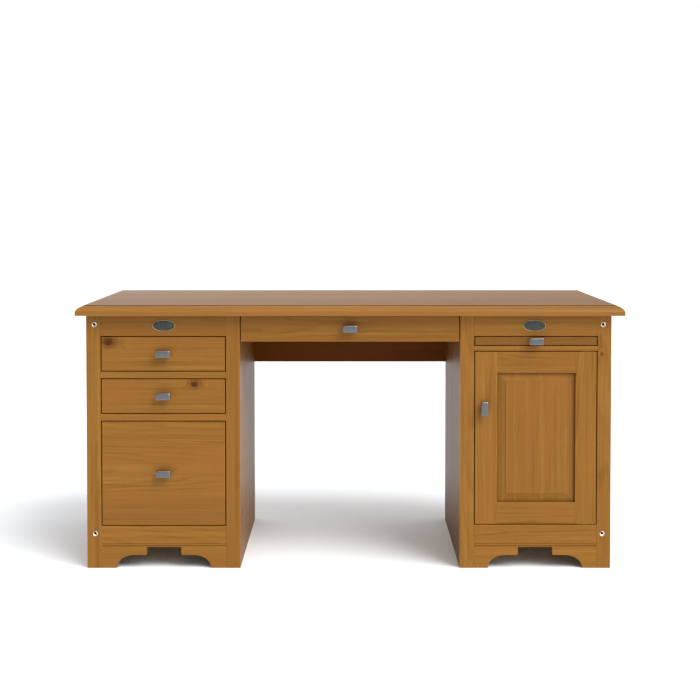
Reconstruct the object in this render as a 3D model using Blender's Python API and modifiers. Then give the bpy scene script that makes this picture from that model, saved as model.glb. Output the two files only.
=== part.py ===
"""Writing desk with two pedestals, built of solid boards.

The left pedestal holds two drawers over a deep file drawer. The right pedestal holds a
pull-out writing slide over a cupboard with a raised and fielded door. A shallow drawer
spans the kneehole, and a modesty panel closes the top of the kneehole at the back.

Metres, +Z up. The front faces -Y. The origin is on the floor, under the centre of the top.
Boards that touch keep FIT between them.
"""
import math

import bmesh
import bpy

# ---------------------------------------------------------------- driving dimensions
WIDTH = 1.600               # the top, along X
DEPTH = 0.700               # the top, along Y
HEIGHT = 0.776              # floor to writing surface
TOP_THICKNESS = 0.030
FRONT_OVERHANG = 0.031      # top beyond the face frames
CARCASS_DEPTH = 0.619       # face frame to the back edges of the sides
FIT = 0.0003                # gap between pieces that touch
REVEAL = 0.003              # gap round a drawer front or the door
FRAME_THICKNESS = 0.020     # stiles, rails, drawer fronts and door
SIDE_THICKNESS = 0.018
BACK_THICKNESS = 0.006
BACK_INSET = 0.002
SHELF_THICKNESS = 0.018
ARRIS = 0.0010              # rounding of exposed edges

FRONT = -DEPTH / 2 + FRONT_OVERHANG
FRAME_BACK = FRONT + FRAME_THICKNESS
CARCASS_BACK = FRONT + CARCASS_DEPTH
BACK_PANEL_FACE = CARCASS_BACK - BACK_INSET - BACK_THICKNESS
TOP_UNDERSIDE = HEIGHT - TOP_THICKNESS
CARCASS_TOP = TOP_UNDERSIDE - FIT

# top's edge moulding: an upright band, a shallow thumbnail arc and a small step
BAND_HEIGHT = 0.012
MOULDING_INSET = 0.0225
MOULDING_STEP = 0.0015
MOULDING_RADIUS = 0.0287
MOULDING_STEPS = 7

# pedestals: X of the outer face, of the two openings' edges and of the kneehole face
LEFT = {"outer": -0.7730, "opening": (-0.7310, -0.3637), "inner": -0.3228}
RIGHT = {"outer": 0.7660, "opening": (0.3640, 0.7255), "inner": 0.3228}

# heights of the rails' edges
PLINTH_HEIGHT = 0.0717
LEFT_BOTTOM_RAIL_TOP = 0.1241
LEFT_LOWER_DIVIDER = (0.4357, 0.4553)
LEFT_UPPER_DIVIDER = (0.5604, 0.5798)
TOP_RAIL_BOTTOM = 0.6849
RIGHT_BOTTOM_RAIL_TOP = 0.1279
SLIDE_DIVIDER = (0.6416, 0.6554)
RAIL_DEPTH = 0.040          # rails lap behind the stiles by what exceeds the frame
WING_RELIEF = 0.0005        # the laps lean back from the stile towards their ends

# plinth arches: quarter-ellipse feet, a flat, then a raised centre, under a scratched bead
ARCH_WIDTH = 0.277
ARCH_FOOT_WIDTH = 0.051
ARCH_FOOT_HEIGHT = 0.038
ARCH_CENTRE_WIDTH = 0.101
ARCH_HEIGHT = 0.062
ARCH_NOSE = 0.004
ARCH_STEPS = 7
BEAD_HEIGHT = 0.0058
BEAD_QUIRK = 0.0016

# drawers
BOX_BOARD = 0.012           # drawer sides and back
BOX_SETBACK = 0.001         # drawer side behind the end of its front
BOX_LENGTH = 0.505
BOX_LIFT = 0.0007           # drawer side over the board it runs on
BOX_DROP = 0.014            # drawer side under the top of its front
BOTTOM_THICKNESS = 0.006
BOTTOM_LIFT = 0.010
GROOVE_DEPTH = 0.006
CENTRE_BOX_LENGTH = 0.450
CENTRE_FRONT_BOTTOM = 0.6684
CENTRE_SIDE = 0.014
RUNNER_HEIGHT = 0.0106
RUNNER_WIDTH = 0.0095
RUNNER_CENTRE = 0.7045
RUNNER_CLEARANCE = 0.0007

# writing slide
SLIDE_LENGTH = 0.520

# cupboard door
DOOR_STILES = (0.0645, 0.0613)      # widths, left and right
DOOR_RAILS = (0.0638, 0.0622)       # heights, bottom and top
TONGUE_THICKNESS = 0.0066
TONGUE_DEPTH = 0.007
TONGUE_SETBACK = 0.0092             # tongue's face behind the door's face
FIELD_SETBACK = 0.0008              # raised field behind the door's face
FIELD_STEP = 0.0014
PANEL_BEVEL = 0.025
SHELF_HEIGHT = 0.378

# pivot hinges at the door's top and bottom edges
PIVOT_INSET = 0.007         # from the door's edge and from its face
PIN_RADIUS = 0.0020
PIN_CLEARANCE = 0.0004
PIN_LENGTH = 0.0085
LEAF_THICKNESS = 0.0010
LEAF_LENGTH = 0.046
LEAF_WIDTH = 0.011

# pulls: a block on a narrower foot
PULL_SIZE = (0.043, 0.021)  # long and short side of the face
PULL_FOOT = (0.027, 0.012)
PULL_PROJECTION = 0.0245
PULL_BLOCK = 0.0135
PULL_EDGE = 0.0025

# oval plaques on the top rails
PLAQUE_AXES = (0.068, 0.0345)
PLAQUE_THICKNESS = 0.0024
PLAQUE_RIM = 0.0026
PLAQUE_RECESS = 0.0008
PLAQUE_HEIGHT = 0.7155
PLAQUE_X = {"left": -0.5455, "right": 0.5398}

# connector bolts through the outer stiles into the rails that lap behind them
BOLT_X = {"left": -0.7486, "right": 0.7416}
BOLT_HEIGHTS = {"lower": 0.1019, "upper": 0.7186}
BOLT_HEAD_RADIUS = 0.0073
BOLT_HEAD_THICKNESS = 0.0028
BOLT_RECESS = 0.0016
BOLT_SHANK_RADIUS = 0.0030
BOLT_LENGTH = 0.034
BOLT_SOCKET_RADIUS = 0.0034
BOLT_SOCKET_DEPTH = 0.0018
BOLT_CLEARANCE = 0.0004

MODESTY_BOTTOM = 0.5385
MODESTY_THICKNESS = 0.018

# X of each drawer front's and the door's pull, and its height
LEFT_PULL_X = -0.5460
LEFT_PULL_LIFT = 0.001      # over the middle of its drawer front
SLIDE_PULL_X = 0.5438
DOOR_PULL = (0.3935, 0.4725)
CENTRE_PULL_HEIGHT = 0.7070

PINE = (0.40, 0.20, 0.055)
PALE_PINE = (0.62, 0.42, 0.20)
PEWTER = (0.20, 0.20, 0.22)
BRASS = (0.40, 0.30, 0.14)
NICKEL = (0.72, 0.66, 0.56)

FACING_FRONT = (math.radians(90), 0, 0)         # local XY drawn on the desk's front view
FACING_SIDE = (math.radians(90), 0, math.radians(90))


# ---------------------------------------------------------------- scene and materials
def clear_scene():
    for item in list(bpy.data.objects):
        bpy.data.objects.remove(item, do_unlink=True)


def new_collection(name):
    collection = bpy.data.collections.new(name)
    bpy.context.scene.collection.children.link(collection)
    return collection


def make_material(name, colour, roughness, metallic):
    material = bpy.data.materials.new(name)
    material.use_nodes = True
    shader = material.node_tree.nodes["Principled BSDF"]
    shader.inputs["Base Color"].default_value = (*colour, 1.0)
    shader.inputs["Roughness"].default_value = roughness
    shader.inputs["Metallic"].default_value = metallic
    return material


def finish_for(name):
    """Colour, roughness and metallic value by the kind of piece."""
    if "pull" in name:
        return PEWTER, 0.35, 1.0
    if "plaque" in name or "leaf" in name:
        return BRASS, 0.35, 1.0
    if "bolt" in name:
        return NICKEL, 0.25, 1.0
    if "box" in name or name.endswith(("_bottom", "back_panel", "runner")):
        return PALE_PINE, 0.55, 0.0
    return PINE, 0.40, 0.0


def add_part(name, mesh, location, parent=None, rotation=(0, 0, 0)):
    """One sub-part, with its own material, placed in world space under its parent."""
    part = bpy.data.objects.new(name, mesh)
    desk.objects.link(part)
    part.rotation_euler = rotation
    part.location = location
    if parent is not None:
        part.parent = parent
        part.location = [a - b for a, b in zip(location, parent.location)]
    part.data.materials.append(make_material(name, *finish_for(name)))
    return part


def add_axis(name, location):
    """An empty on a joint's axis, which carries the pieces that move on it."""
    empty = bpy.data.objects.new(name, None)
    empty.location = location
    empty.empty_display_size = 0.05
    desk.objects.link(empty)
    return empty


# ---------------------------------------------------------------- shapes
def box_mesh(name, size):
    mesh = bpy.data.meshes.new(name)
    shape = bmesh.new()
    bmesh.ops.create_cube(shape, size=1.0)
    bmesh.ops.scale(shape, vec=size, verts=shape.verts)
    shape.to_mesh(mesh)
    shape.free()
    return mesh


def round_edges(part, chosen, width=ARRIS, segments=2):
    """Bevel the edges of the part's own mesh for which chosen(start, end) is true."""
    mesh = part.data
    weights = mesh.attributes.new("bevel_weight_edge", "FLOAT", "EDGE")
    for edge, weight in zip(mesh.edges, weights.data):
        start, end = (mesh.vertices[i].co for i in edge.vertices)
        weight.value = 1.0 if chosen(start, end) else 0.0
    bevel = part.modifiers.new("arrises", "BEVEL")
    bevel.width = width
    bevel.segments = segments
    bevel.limit_method = "WEIGHT"


def round_arrises(part, along="XYZ", width=ARRIS, segments=2):
    """Bevel the edges that run along the given axes."""
    def runs_along(start, end):
        run = [abs(a - b) for a, b in zip(start, end)]
        return "XYZ"[run.index(max(run))] in along
    round_edges(part, runs_along, width, segments)


def add_board(name, x, y, z, parent=None, along="XYZ", segments=2, width=ARRIS):
    """A square-edged board between two corners, with rounded arrises."""
    spans = [(min(pair), max(pair)) for pair in (x, y, z)]
    size = [hi - lo for lo, hi in spans]
    centre = [(hi + lo) / 2 for lo, hi in spans]
    part = add_part(name, box_mesh(name, size), centre, parent)
    if along:
        round_arrises(part, along, width, segments)
    return part


def outline_mesh(name, points, length):
    """A flat outline in local XY, extruded along local Z by its whole length."""
    curve = bpy.data.curves.new(name + "_outline", "CURVE")
    curve.dimensions = "2D"
    curve.fill_mode = "BOTH"
    curve.extrude = length / 2
    spline = curve.splines.new("POLY")
    spline.points.add(len(points) - 1)
    for point, (x, y) in zip(spline.points, points):
        point.co = (x, y, 0, 1)
    spline.use_cyclic_u = True
    carrier = bpy.data.objects.new(name + "_outline", curve)
    bpy.context.scene.collection.objects.link(carrier)
    depsgraph = bpy.context.evaluated_depsgraph_get()
    mesh = bpy.data.meshes.new_from_object(carrier.evaluated_get(depsgraph))
    mesh.name = name
    bpy.data.objects.remove(carrier, do_unlink=True)
    bpy.data.curves.remove(curve)
    shape = bmesh.new()
    shape.from_mesh(mesh)
    bmesh.ops.remove_doubles(shape, verts=shape.verts, dist=0.00001)
    bmesh.ops.dissolve_limit(shape, angle_limit=0.001, verts=shape.verts, edges=shape.edges)
    bmesh.ops.recalc_face_normals(shape, faces=shape.faces)
    shape.to_mesh(mesh)
    shape.free()
    return mesh


def arc(centre, radii, start, end, steps):
    """Points of an elliptical arc, angles in degrees."""
    points = []
    for i in range(steps + 1):
        angle = math.radians(start + (end - start) * i / steps)
        points.append((centre[0] + radii[0] * math.cos(angle), centre[1] + radii[1] * math.sin(angle)))
    return points


def inset_face(shape, faces, thickness, depth):
    bmesh.ops.inset_region(shape, faces=faces, thickness=thickness, depth=depth, use_even_offset=True)


def cylinder_mesh(name, radius, length, sides=24):
    mesh = bpy.data.meshes.new(name)
    shape = bmesh.new()
    bmesh.ops.create_cone(shape, cap_ends=True, segments=sides, radius1=radius, radius2=radius, depth=length)
    shape.to_mesh(mesh)
    shape.free()
    return mesh


def add_tool(name, mesh, location, rotation=(0, 0, 0)):
    """A hidden shape that only cuts or joins another piece."""
    tool = bpy.data.objects.new(name, mesh)
    cutters.objects.link(tool)
    tool.location = location
    tool.rotation_euler = rotation
    tool.hide_render = True
    tool.display_type = "WIRE"
    return tool


def combine(part, tool, operation):
    modifier = part.modifiers.new(tool.name, "BOOLEAN")
    modifier.object = tool
    modifier.operation = operation
    modifier.solver = "EXACT"


def cut_box(part, name, x, y, z):
    size = [abs(pair[1] - pair[0]) for pair in (x, y, z)]
    centre = [sum(pair) / 2 for pair in (x, y, z)]
    combine(part, add_tool(name, box_mesh(name, size), centre), "DIFFERENCE")


def shade_round(part, angle=30):
    part.data.shade_smooth()
    part.data.set_sharp_from_angle(angle=math.radians(angle))


# ---------------------------------------------------------------- the top
def moulding_outline():
    """What the moulding takes off an edge: X is the inset, Y the height over the underside."""
    rise = TOP_THICKNESS - MOULDING_STEP - BAND_HEIGHT
    chord = math.hypot(MOULDING_INSET, rise)
    slope = math.atan2(rise, MOULDING_INSET)
    half = math.asin(chord / 2 / MOULDING_RADIUS)
    centre = (MOULDING_RADIUS * math.sin(slope + half), BAND_HEIGHT - MOULDING_RADIUS * math.cos(slope + half))
    start = 90 + math.degrees(slope + half)
    end = 90 + math.degrees(slope - half)
    curve = arc(centre, (MOULDING_RADIUS, MOULDING_RADIUS), start, end, MOULDING_STEPS)
    over = TOP_THICKNESS + 0.01
    return [(-0.01, BAND_HEIGHT), *curve, (MOULDING_INSET, over), (-0.01, over)]


def build_top():
    top = add_board("desk_top", (-WIDTH / 2, WIDTH / 2), (-DEPTH / 2, DEPTH / 2), (TOP_UNDERSIDE, HEIGHT), along="")
    places = {
        "front_moulding": ((0, -DEPTH / 2), FACING_SIDE, WIDTH),
        "left_moulding": ((-WIDTH / 2, 0), FACING_FRONT, DEPTH),
        "right_moulding": ((WIDTH / 2, 0), (math.radians(90), 0, math.radians(180)), DEPTH),
    }
    for name, ((x, y), rotation, length) in places.items():
        mesh = outline_mesh(name, moulding_outline(), length + 0.1)
        combine(top, add_tool(name, mesh, (x, y, TOP_UNDERSIDE), rotation), "DIFFERENCE")
    shade_round(top, 25)


# ---------------------------------------------------------------- pedestals
def notched_board(name, pedestal, back, z, opening_gap=FIT):
    """A board seen between the stiles, and widened behind them to meet the sides."""
    low, high = pedestal["opening"]
    inner_faces = sorted((side_inner_face(pedestal, "outer"), side_inner_face(pedestal, "inner")))
    notch = FRAME_BACK + FIT
    points = [
        (low + opening_gap, FRONT),
        (high - opening_gap, FRONT),
        (high - opening_gap, notch),
        (inner_faces[1] - FIT, notch + WING_RELIEF),
        (inner_faces[1] - FIT, back),
        (inner_faces[0] + FIT, back),
        (inner_faces[0] + FIT, notch + WING_RELIEF),
        (low + opening_gap, notch),
    ]
    centre_x = (low + high) / 2
    local = [(x - centre_x, y - FRONT) for x, y in points]
    mesh = outline_mesh(name, local, z[1] - z[0])
    part = add_part(name, mesh, (centre_x, FRONT, (z[0] + z[1]) / 2))
    round_front_arrises(part)
    return part


def round_front_arrises(part):
    """Round only the two long front edges of a board that shows between the stiles."""
    def is_front_arris(start, end):
        on_front = max(abs(start.y), abs(end.y)) < 0.0001
        return on_front and abs(start.z - end.z) < 0.0001
    round_edges(part, is_front_arris)


def side_inner_face(pedestal, which):
    towards_kneehole = 1 if pedestal["outer"] < 0 else -1
    step = SIDE_THICKNESS * towards_kneehole
    return pedestal["outer"] + step if which == "outer" else pedestal["inner"] - step


def plinth_mesh(name, width):
    """The board under the bottom rail, cut away to a stepped arch between two feet."""
    half = width / 2
    flat = ARCH_WIDTH / 2 - ARCH_FOOT_WIDTH
    centre = ARCH_CENTRE_WIDTH / 2
    foot = (ARCH_FOOT_WIDTH, ARCH_FOOT_HEIGHT)
    nose = (ARCH_NOSE, ARCH_NOSE)
    left_foot = arc((-flat, 0), foot, 180, 90, ARCH_STEPS)
    left_nose = arc((-centre - ARCH_NOSE, ARCH_FOOT_HEIGHT + ARCH_NOSE), nose, -90, 0, 2)
    left = [(-half, 0), *left_foot, *left_nose, (-centre, ARCH_HEIGHT)]
    right = [(-x, y) for x, y in reversed(left)]
    points = [*left, *right, (half, PLINTH_HEIGHT), (-half, PLINTH_HEIGHT)]
    return outline_mesh(name, points, FRAME_THICKNESS)


def build_pedestal(side, pedestal):
    low, high = pedestal["opening"]
    outer, inner = pedestal["outer"], pedestal["inner"]
    outer_edge, inner_edge = (low, high) if side == "left" else (high, low)
    frame = (FRONT, FRAME_BACK)
    behind = (FRAME_BACK + FIT, CARCASS_BACK)
    full = (0, CARCASS_TOP)
    outer_face = side_inner_face(pedestal, "outer")
    inner_face = side_inner_face(pedestal, "inner")
    between = sorted((outer_face, inner_face))
    between = (between[0] + FIT, between[1] - FIT)

    outer_stile = add_board(f"{side}_outer_stile", (outer, outer_edge), frame, full, along="Z")
    add_board(f"{side}_inner_stile", (inner_edge, inner), frame, full, along="Z")
    add_board(f"{side}_outer_side", (outer, outer_face), behind, full, along="", segments=1)
    add_board(f"{side}_inner_side", (inner_face, inner), behind, full, along="", segments=1)
    add_board(f"{side}_back_panel", between, (BACK_PANEL_FACE, BACK_PANEL_FACE + BACK_THICKNESS),
              (PLINTH_HEIGHT, CARCASS_TOP), along="")

    lap = FRONT + RAIL_DEPTH
    rail_top = LEFT_BOTTOM_RAIL_TOP if side == "left" else RIGHT_BOTTOM_RAIL_TOP
    top_rail = notched_board(f"{side}_top_rail", pedestal, lap, (TOP_RAIL_BOTTOM, CARCASS_TOP))
    bottom_rail = notched_board(f"{side}_bottom_rail", pedestal, lap, (PLINTH_HEIGHT + FIT, rail_top))
    add_board(f"{side}_bottom_board", between, (lap + FIT, BACK_PANEL_FACE - FIT),
              (rail_top - SHELF_THICKNESS, rail_top), along="")

    width = high - low - 2 * FIT
    mesh = plinth_mesh(f"{side}_plinth", width)
    middle = FRONT + FRAME_THICKNESS / 2
    plinth = add_part(f"{side}_plinth", mesh, ((low + high) / 2, middle, 0), None, FACING_FRONT)
    shade_round(plinth, 25)
    quirk = PLINTH_HEIGHT - BEAD_HEIGHT
    cut_box(plinth, f"{side}_bead_quirk", (low, high), (FRONT - BEAD_QUIRK, FRONT + BEAD_QUIRK),
            (quirk - BEAD_QUIRK / 2, quirk + BEAD_QUIRK / 2))

    for level, height in BOLT_HEIGHTS.items():
        rail = top_rail if level == "upper" else bottom_rail
        build_bolt(f"{side}_{level}_bolt", BOLT_X[side], height, outer_stile, rail)


def build_bolt(name, x, z, stile, rail):
    """A flat-headed bolt with a hexagon socket, let into the stile and run into the rail."""
    proud = BOLT_HEAD_THICKNESS - BOLT_RECESS
    underside = proud - BOLT_HEAD_THICKNESS
    edge = 0.0006
    profile = [
        (0, proud),
        (BOLT_HEAD_RADIUS - edge, proud),
        (BOLT_HEAD_RADIUS, proud - edge),
        (BOLT_HEAD_RADIUS, underside + FIT),
        (BOLT_SHANK_RADIUS, underside + FIT),
        (BOLT_SHANK_RADIUS, proud - BOLT_LENGTH),
        (0, proud - BOLT_LENGTH),
    ]
    mesh = bpy.data.meshes.new(name)
    verts = [(radius, 0, height) for radius, height in profile]
    edges = [(i, i + 1) for i in range(len(profile) - 1)]
    mesh.from_pydata(verts, edges, [])
    bolt = add_part(name, mesh, (x, FRONT, z), None, FACING_FRONT)
    turn = bolt.modifiers.new("turn", "SCREW")
    turn.axis = "Z"
    turn.steps = 24
    turn.render_steps = 24
    turn.use_merge_vertices = True
    turn.merge_threshold = 0.00001
    turn.use_smooth_shade = False
    depth = BOLT_SOCKET_DEPTH
    socket = cylinder_mesh(name + "_socket", BOLT_SOCKET_RADIUS, 2 * depth, sides=6)
    combine(bolt, add_tool(name + "_socket", socket, (x, FRONT - proud, z), FACING_FRONT), "DIFFERENCE")

    recess = cylinder_mesh(name + "_recess", BOLT_HEAD_RADIUS + BOLT_CLEARANCE, 2 * BOLT_RECESS)
    combine(stile, add_tool(name + "_recess", recess, (x, FRONT, z), FACING_FRONT), "DIFFERENCE")
    reach = 2 * (RAIL_DEPTH + 0.01)
    hole = cylinder_mesh(name + "_hole", BOLT_SHANK_RADIUS + BOLT_CLEARANCE, reach)
    tool = add_tool(name + "_hole", hole, (x, FRONT, z), FACING_FRONT)
    combine(stile, tool, "DIFFERENCE")
    combine(rail, tool, "DIFFERENCE")


def build_left_dividers():
    back = BACK_PANEL_FACE - FIT
    notched_board("left_upper_divider", LEFT, back, LEFT_UPPER_DIVIDER)
    notched_board("left_lower_divider", LEFT, back, LEFT_LOWER_DIVIDER)


def build_right_shelves():
    back = BACK_PANEL_FACE - FIT
    notched_board("slide_divider", RIGHT, back, SLIDE_DIVIDER)
    between = (side_inner_face(RIGHT, "inner") + FIT, side_inner_face(RIGHT, "outer") - FIT)
    add_board("cupboard_shelf", between, (-0.240, back - 0.004), (SHELF_HEIGHT, SHELF_HEIGHT + SHELF_THICKNESS),
              along="X")


def build_kneehole():
    gap = (LEFT["inner"] + FIT, RIGHT["inner"] - FIT)
    add_board("modesty_panel", gap, (CARCASS_BACK - MODESTY_THICKNESS, CARCASS_BACK),
              (MODESTY_BOTTOM, CARCASS_TOP), along="X")
    run = (FRAME_BACK + FIT, FRAME_BACK + CENTRE_BOX_LENGTH)
    height = (RUNNER_CENTRE - RUNNER_HEIGHT / 2, RUNNER_CENTRE + RUNNER_HEIGHT / 2)
    for side, face, inward in (("left", gap[0], 1), ("right", gap[1], -1)):
        add_board(f"{side}_centre_runner", (face, face + inward * RUNNER_WIDTH), run, height, along="Y", segments=1)


# ---------------------------------------------------------------- pulls and plaques
def build_pull(name, x, z, parent, upright=False):
    """A rectangular block on a narrower foot, standing out from a front."""
    long_side, short_side = PULL_SIZE
    face = (short_side, long_side) if upright else PULL_SIZE
    foot = PULL_FOOT[::-1] if upright else PULL_FOOT
    tip = FRONT - PULL_PROJECTION
    centre = (x, tip + PULL_BLOCK / 2, z)
    pull = add_part(name, box_mesh(name, (face[0], PULL_BLOCK, face[1])), centre, parent)
    round_arrises(pull, "XYZ", PULL_EDGE, 2)
    back = FRONT - FIT
    front_end = tip + PULL_BLOCK / 2
    foot_mesh = box_mesh(name + "_foot", (foot[0], back - front_end, foot[1]))
    tool = add_tool(name + "_foot", foot_mesh, (x, (back + front_end) / 2, z))
    combine(pull, tool, "UNION")


def build_plaque(side):
    name = f"{side}_plaque"
    shape = bmesh.new()
    bmesh.ops.create_circle(shape, cap_ends=True, segments=40, radius=1.0)
    half = [length / 2 for length in PLAQUE_AXES]
    bmesh.ops.scale(shape, vec=(half[0], half[1], 1), verts=shape.verts)
    rim = bmesh.ops.extrude_face_region(shape, geom=list(shape.faces))
    raised = [item for item in rim["geom"] if isinstance(item, bmesh.types.BMVert)]
    bmesh.ops.translate(shape, vec=(0, 0, PLAQUE_THICKNESS), verts=raised)
    face = [item for item in rim["geom"] if isinstance(item, bmesh.types.BMFace)]
    inset_face(shape, face, PLAQUE_RIM, 0)
    inset_face(shape, face, 0.0004, -PLAQUE_RECESS)
    bmesh.ops.recalc_face_normals(shape, faces=shape.faces)
    mesh = bpy.data.meshes.new(name)
    shape.to_mesh(mesh)
    shape.free()
    plaque = add_part(name, mesh, (PLAQUE_X[side], FRONT - FIT, PLAQUE_HEIGHT), None, FACING_FRONT)
    shade_round(plaque)


# ---------------------------------------------------------------- drawers and slide
def build_drawer(name, x, z, pull, box_z, length=BOX_LENGTH, board=BOX_BOARD):
    """A front, a box of two sides and a back, a bottom let into grooves, and a pull."""
    axis = add_axis(f"{name}_axis", (sum(x) / 2, FRONT, sum(z) / 2))
    front = add_board(f"{name}_front", x, (FRONT, FRAME_BACK), z, axis)
    outer = (x[0] + BOX_SETBACK, x[1] - BOX_SETBACK)
    start = FRAME_BACK + FIT
    end = FRAME_BACK + length
    half = (outer[1] - outer[0]) / 2
    run = end - start
    outline = [
        (-half, 0), (-half + board, 0), (-half + board, run - board), (half - board, run - board),
        (half - board, 0), (half, 0), (half, run), (-half, run),
    ]
    mesh = outline_mesh(f"{name}_box", outline, box_z[1] - box_z[0])
    box = add_part(f"{name}_box", mesh, (sum(outer) / 2, start, sum(box_z) / 2), axis)

    bottom_z = (box_z[0] + BOTTOM_LIFT, box_z[0] + BOTTOM_LIFT + BOTTOM_THICKNESS)
    bottom_x = (outer[0] + board - GROOVE_DEPTH, outer[1] - board + GROOVE_DEPTH)
    bottom_y = (FRAME_BACK - GROOVE_DEPTH, end - board + GROOVE_DEPTH)
    add_board(f"{name}_bottom", bottom_x, bottom_y, bottom_z, axis, along="")
    grow = [(pair[0] - FIT, pair[1] + FIT) for pair in (bottom_x, bottom_y, bottom_z)]
    cut_box(front, f"{name}_front_groove", *grow)
    cut_box(box, f"{name}_box_groove", *grow)
    build_pull(f"{name}_pull", pull[0], pull[1], axis)
    return box


def build_left_drawers():
    low, high = LEFT["opening"]
    x = (low + REVEAL, high - REVEAL)
    spaces = {
        "upper_drawer": (LEFT_UPPER_DIVIDER[1], TOP_RAIL_BOTTOM),
        "middle_drawer": (LEFT_LOWER_DIVIDER[1], LEFT_UPPER_DIVIDER[0]),
        "file_drawer": (LEFT_BOTTOM_RAIL_TOP, LEFT_LOWER_DIVIDER[0]),
    }
    for name, (floor, ceiling) in spaces.items():
        z = (floor + REVEAL, ceiling - REVEAL)
        box_z = (floor + BOX_LIFT, z[1] - BOX_DROP)
        build_drawer(name, x, z, (LEFT_PULL_X, sum(z) / 2 + LEFT_PULL_LIFT), box_z)


def build_centre_drawer():
    x = (LEFT["inner"] + REVEAL, RIGHT["inner"] - REVEAL)
    z = (CENTRE_FRONT_BOTTOM, TOP_UNDERSIDE - REVEAL + FIT)
    box_z = (z[0] + 0.003, z[1] - 0.006)
    box = build_drawer("centre_drawer", x, z, (0, CENTRE_PULL_HEIGHT), box_z, CENTRE_BOX_LENGTH, CENTRE_SIDE)
    reach = RUNNER_HEIGHT / 2 + RUNNER_CLEARANCE
    height = (RUNNER_CENTRE - reach, RUNNER_CENTRE + reach)
    run = (FRAME_BACK - 0.01, FRAME_BACK + CENTRE_BOX_LENGTH + 0.01)
    for side, face, inward in (("left", LEFT["inner"], 1), ("right", RIGHT["inner"], -1)):
        inner = face + inward * (RUNNER_WIDTH + FIT + RUNNER_CLEARANCE)
        span = sorted((face - inward * 0.01, inner))
        cut_box(box, f"{side}_runner_groove", span, run, height)


def build_slide():
    low, high = RIGHT["opening"]
    z = (SLIDE_DIVIDER[1] + REVEAL, TOP_RAIL_BOTTOM - REVEAL)
    axis = add_axis("writing_slide_axis", ((low + high) / 2, FRONT, sum(z) / 2))
    add_board("writing_slide_board", (low + REVEAL, high - REVEAL), (FRONT, FRONT + SLIDE_LENGTH), z, axis)
    build_pull("writing_slide_pull", SLIDE_PULL_X, sum(z) / 2, axis)


# ---------------------------------------------------------------- cupboard door
def grooved_outline(width, inward):
    """Cross-section of a door member: X across it with the groove on the inward side, Y back."""
    edge = inward * width / 2
    bottom = edge - inward * (TONGUE_DEPTH + 0.001)
    near = TONGUE_SETBACK - FIT
    far = TONGUE_SETBACK + TONGUE_THICKNESS + FIT
    return [
        (-edge, 0), (edge, 0), (edge, near), (bottom, near),
        (bottom, far), (edge, far), (edge, FRAME_THICKNESS), (-edge, FRAME_THICKNESS),
    ]


def round_member(part, depth_axis):
    """Round a door member's four long outer edges, and not the edges of its groove."""
    def is_outer(start, end):
        depths = (start[depth_axis], end[depth_axis])
        lengthwise = abs(start.z - end.z) > 0.01
        return lengthwise and (max(depths) < 0.0001 or min(depths) > FRAME_THICKNESS - 0.0001)
    round_edges(part, is_outer)


def build_door():
    low, high = RIGHT["opening"]
    x = (low + REVEAL, high - REVEAL)
    z = (RIGHT_BOTTOM_RAIL_TOP + REVEAL, SLIDE_DIVIDER[0] - REVEAL)
    pivot = (x[1] - PIVOT_INSET, FRONT + PIVOT_INSET)
    axis = add_axis("cupboard_door_axis", (*pivot, z[0]))

    members = {}
    tall = z[1] - z[0]
    opening_x = (x[0] + DOOR_STILES[0], x[1] - DOOR_STILES[1])
    opening_z = (z[0] + DOOR_RAILS[0], z[1] - DOOR_RAILS[1])
    for side, span, inward in (("left", (x[0], opening_x[0]), 1), ("right", (opening_x[1], x[1]), -1)):
        name = f"door_{side}_stile"
        mesh = outline_mesh(name, grooved_outline(span[1] - span[0], inward), tall)
        members[side] = add_part(name, mesh, (sum(span) / 2, FRONT, sum(z) / 2), axis)
        round_member(members[side], depth_axis=1)
    for level, span, inward in (("bottom", (z[0], opening_z[0]), 1), ("top", (opening_z[1], z[1]), -1)):
        name = f"door_{level}_rail"
        outline = [(depth, height) for height, depth in grooved_outline(span[1] - span[0], inward)]
        mesh = outline_mesh(name, outline, opening_x[1] - opening_x[0] - 2 * FIT)
        rail = add_part(name, mesh, (sum(opening_x) / 2, FRONT, sum(span) / 2), axis, FACING_SIDE)
        round_member(rail, depth_axis=0)
    build_door_panel(opening_x, opening_z, axis)
    build_pull("cupboard_door_pull", *DOOR_PULL, axis, upright=True)
    build_hinge("upper", pivot, SLIDE_DIVIDER[0], z[1], axis, members["right"])
    build_hinge("lower", pivot, RIGHT_BOTTOM_RAIL_TOP, z[0], axis, members["right"])


def build_door_panel(opening_x, opening_z, axis):
    """A raised and fielded panel: a tongue all round, a sloping bevel, a step, then the field."""
    name = "door_panel"
    width = opening_x[1] - opening_x[0] + 2 * TONGUE_DEPTH
    height = opening_z[1] - opening_z[0] + 2 * TONGUE_DEPTH
    shape = bmesh.new()
    bmesh.ops.create_cube(shape, size=1.0)
    bmesh.ops.scale(shape, vec=(width, TONGUE_THICKNESS, height), verts=shape.verts)
    front = [face for face in shape.faces if face.normal.y < -0.9]
    rise = TONGUE_SETBACK - FIELD_SETBACK - FIELD_STEP
    inset_face(shape, front, TONGUE_DEPTH + 0.0005, 0)
    inset_face(shape, front, PANEL_BEVEL, rise)
    inset_face(shape, front, 0.0004, FIELD_STEP)
    back = [face for face in shape.faces if face.normal.y > 0.9]
    inset_face(shape, back, TONGUE_DEPTH + 0.0008, 0)
    inset_face(shape, back, 0.002, 0.003)
    mesh = bpy.data.meshes.new(name)
    shape.to_mesh(mesh)
    shape.free()
    middle = FRONT + TONGUE_SETBACK + TONGUE_THICKNESS / 2
    add_part(name, mesh, (sum(opening_x) / 2, middle, sum(opening_z) / 2), axis)


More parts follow.
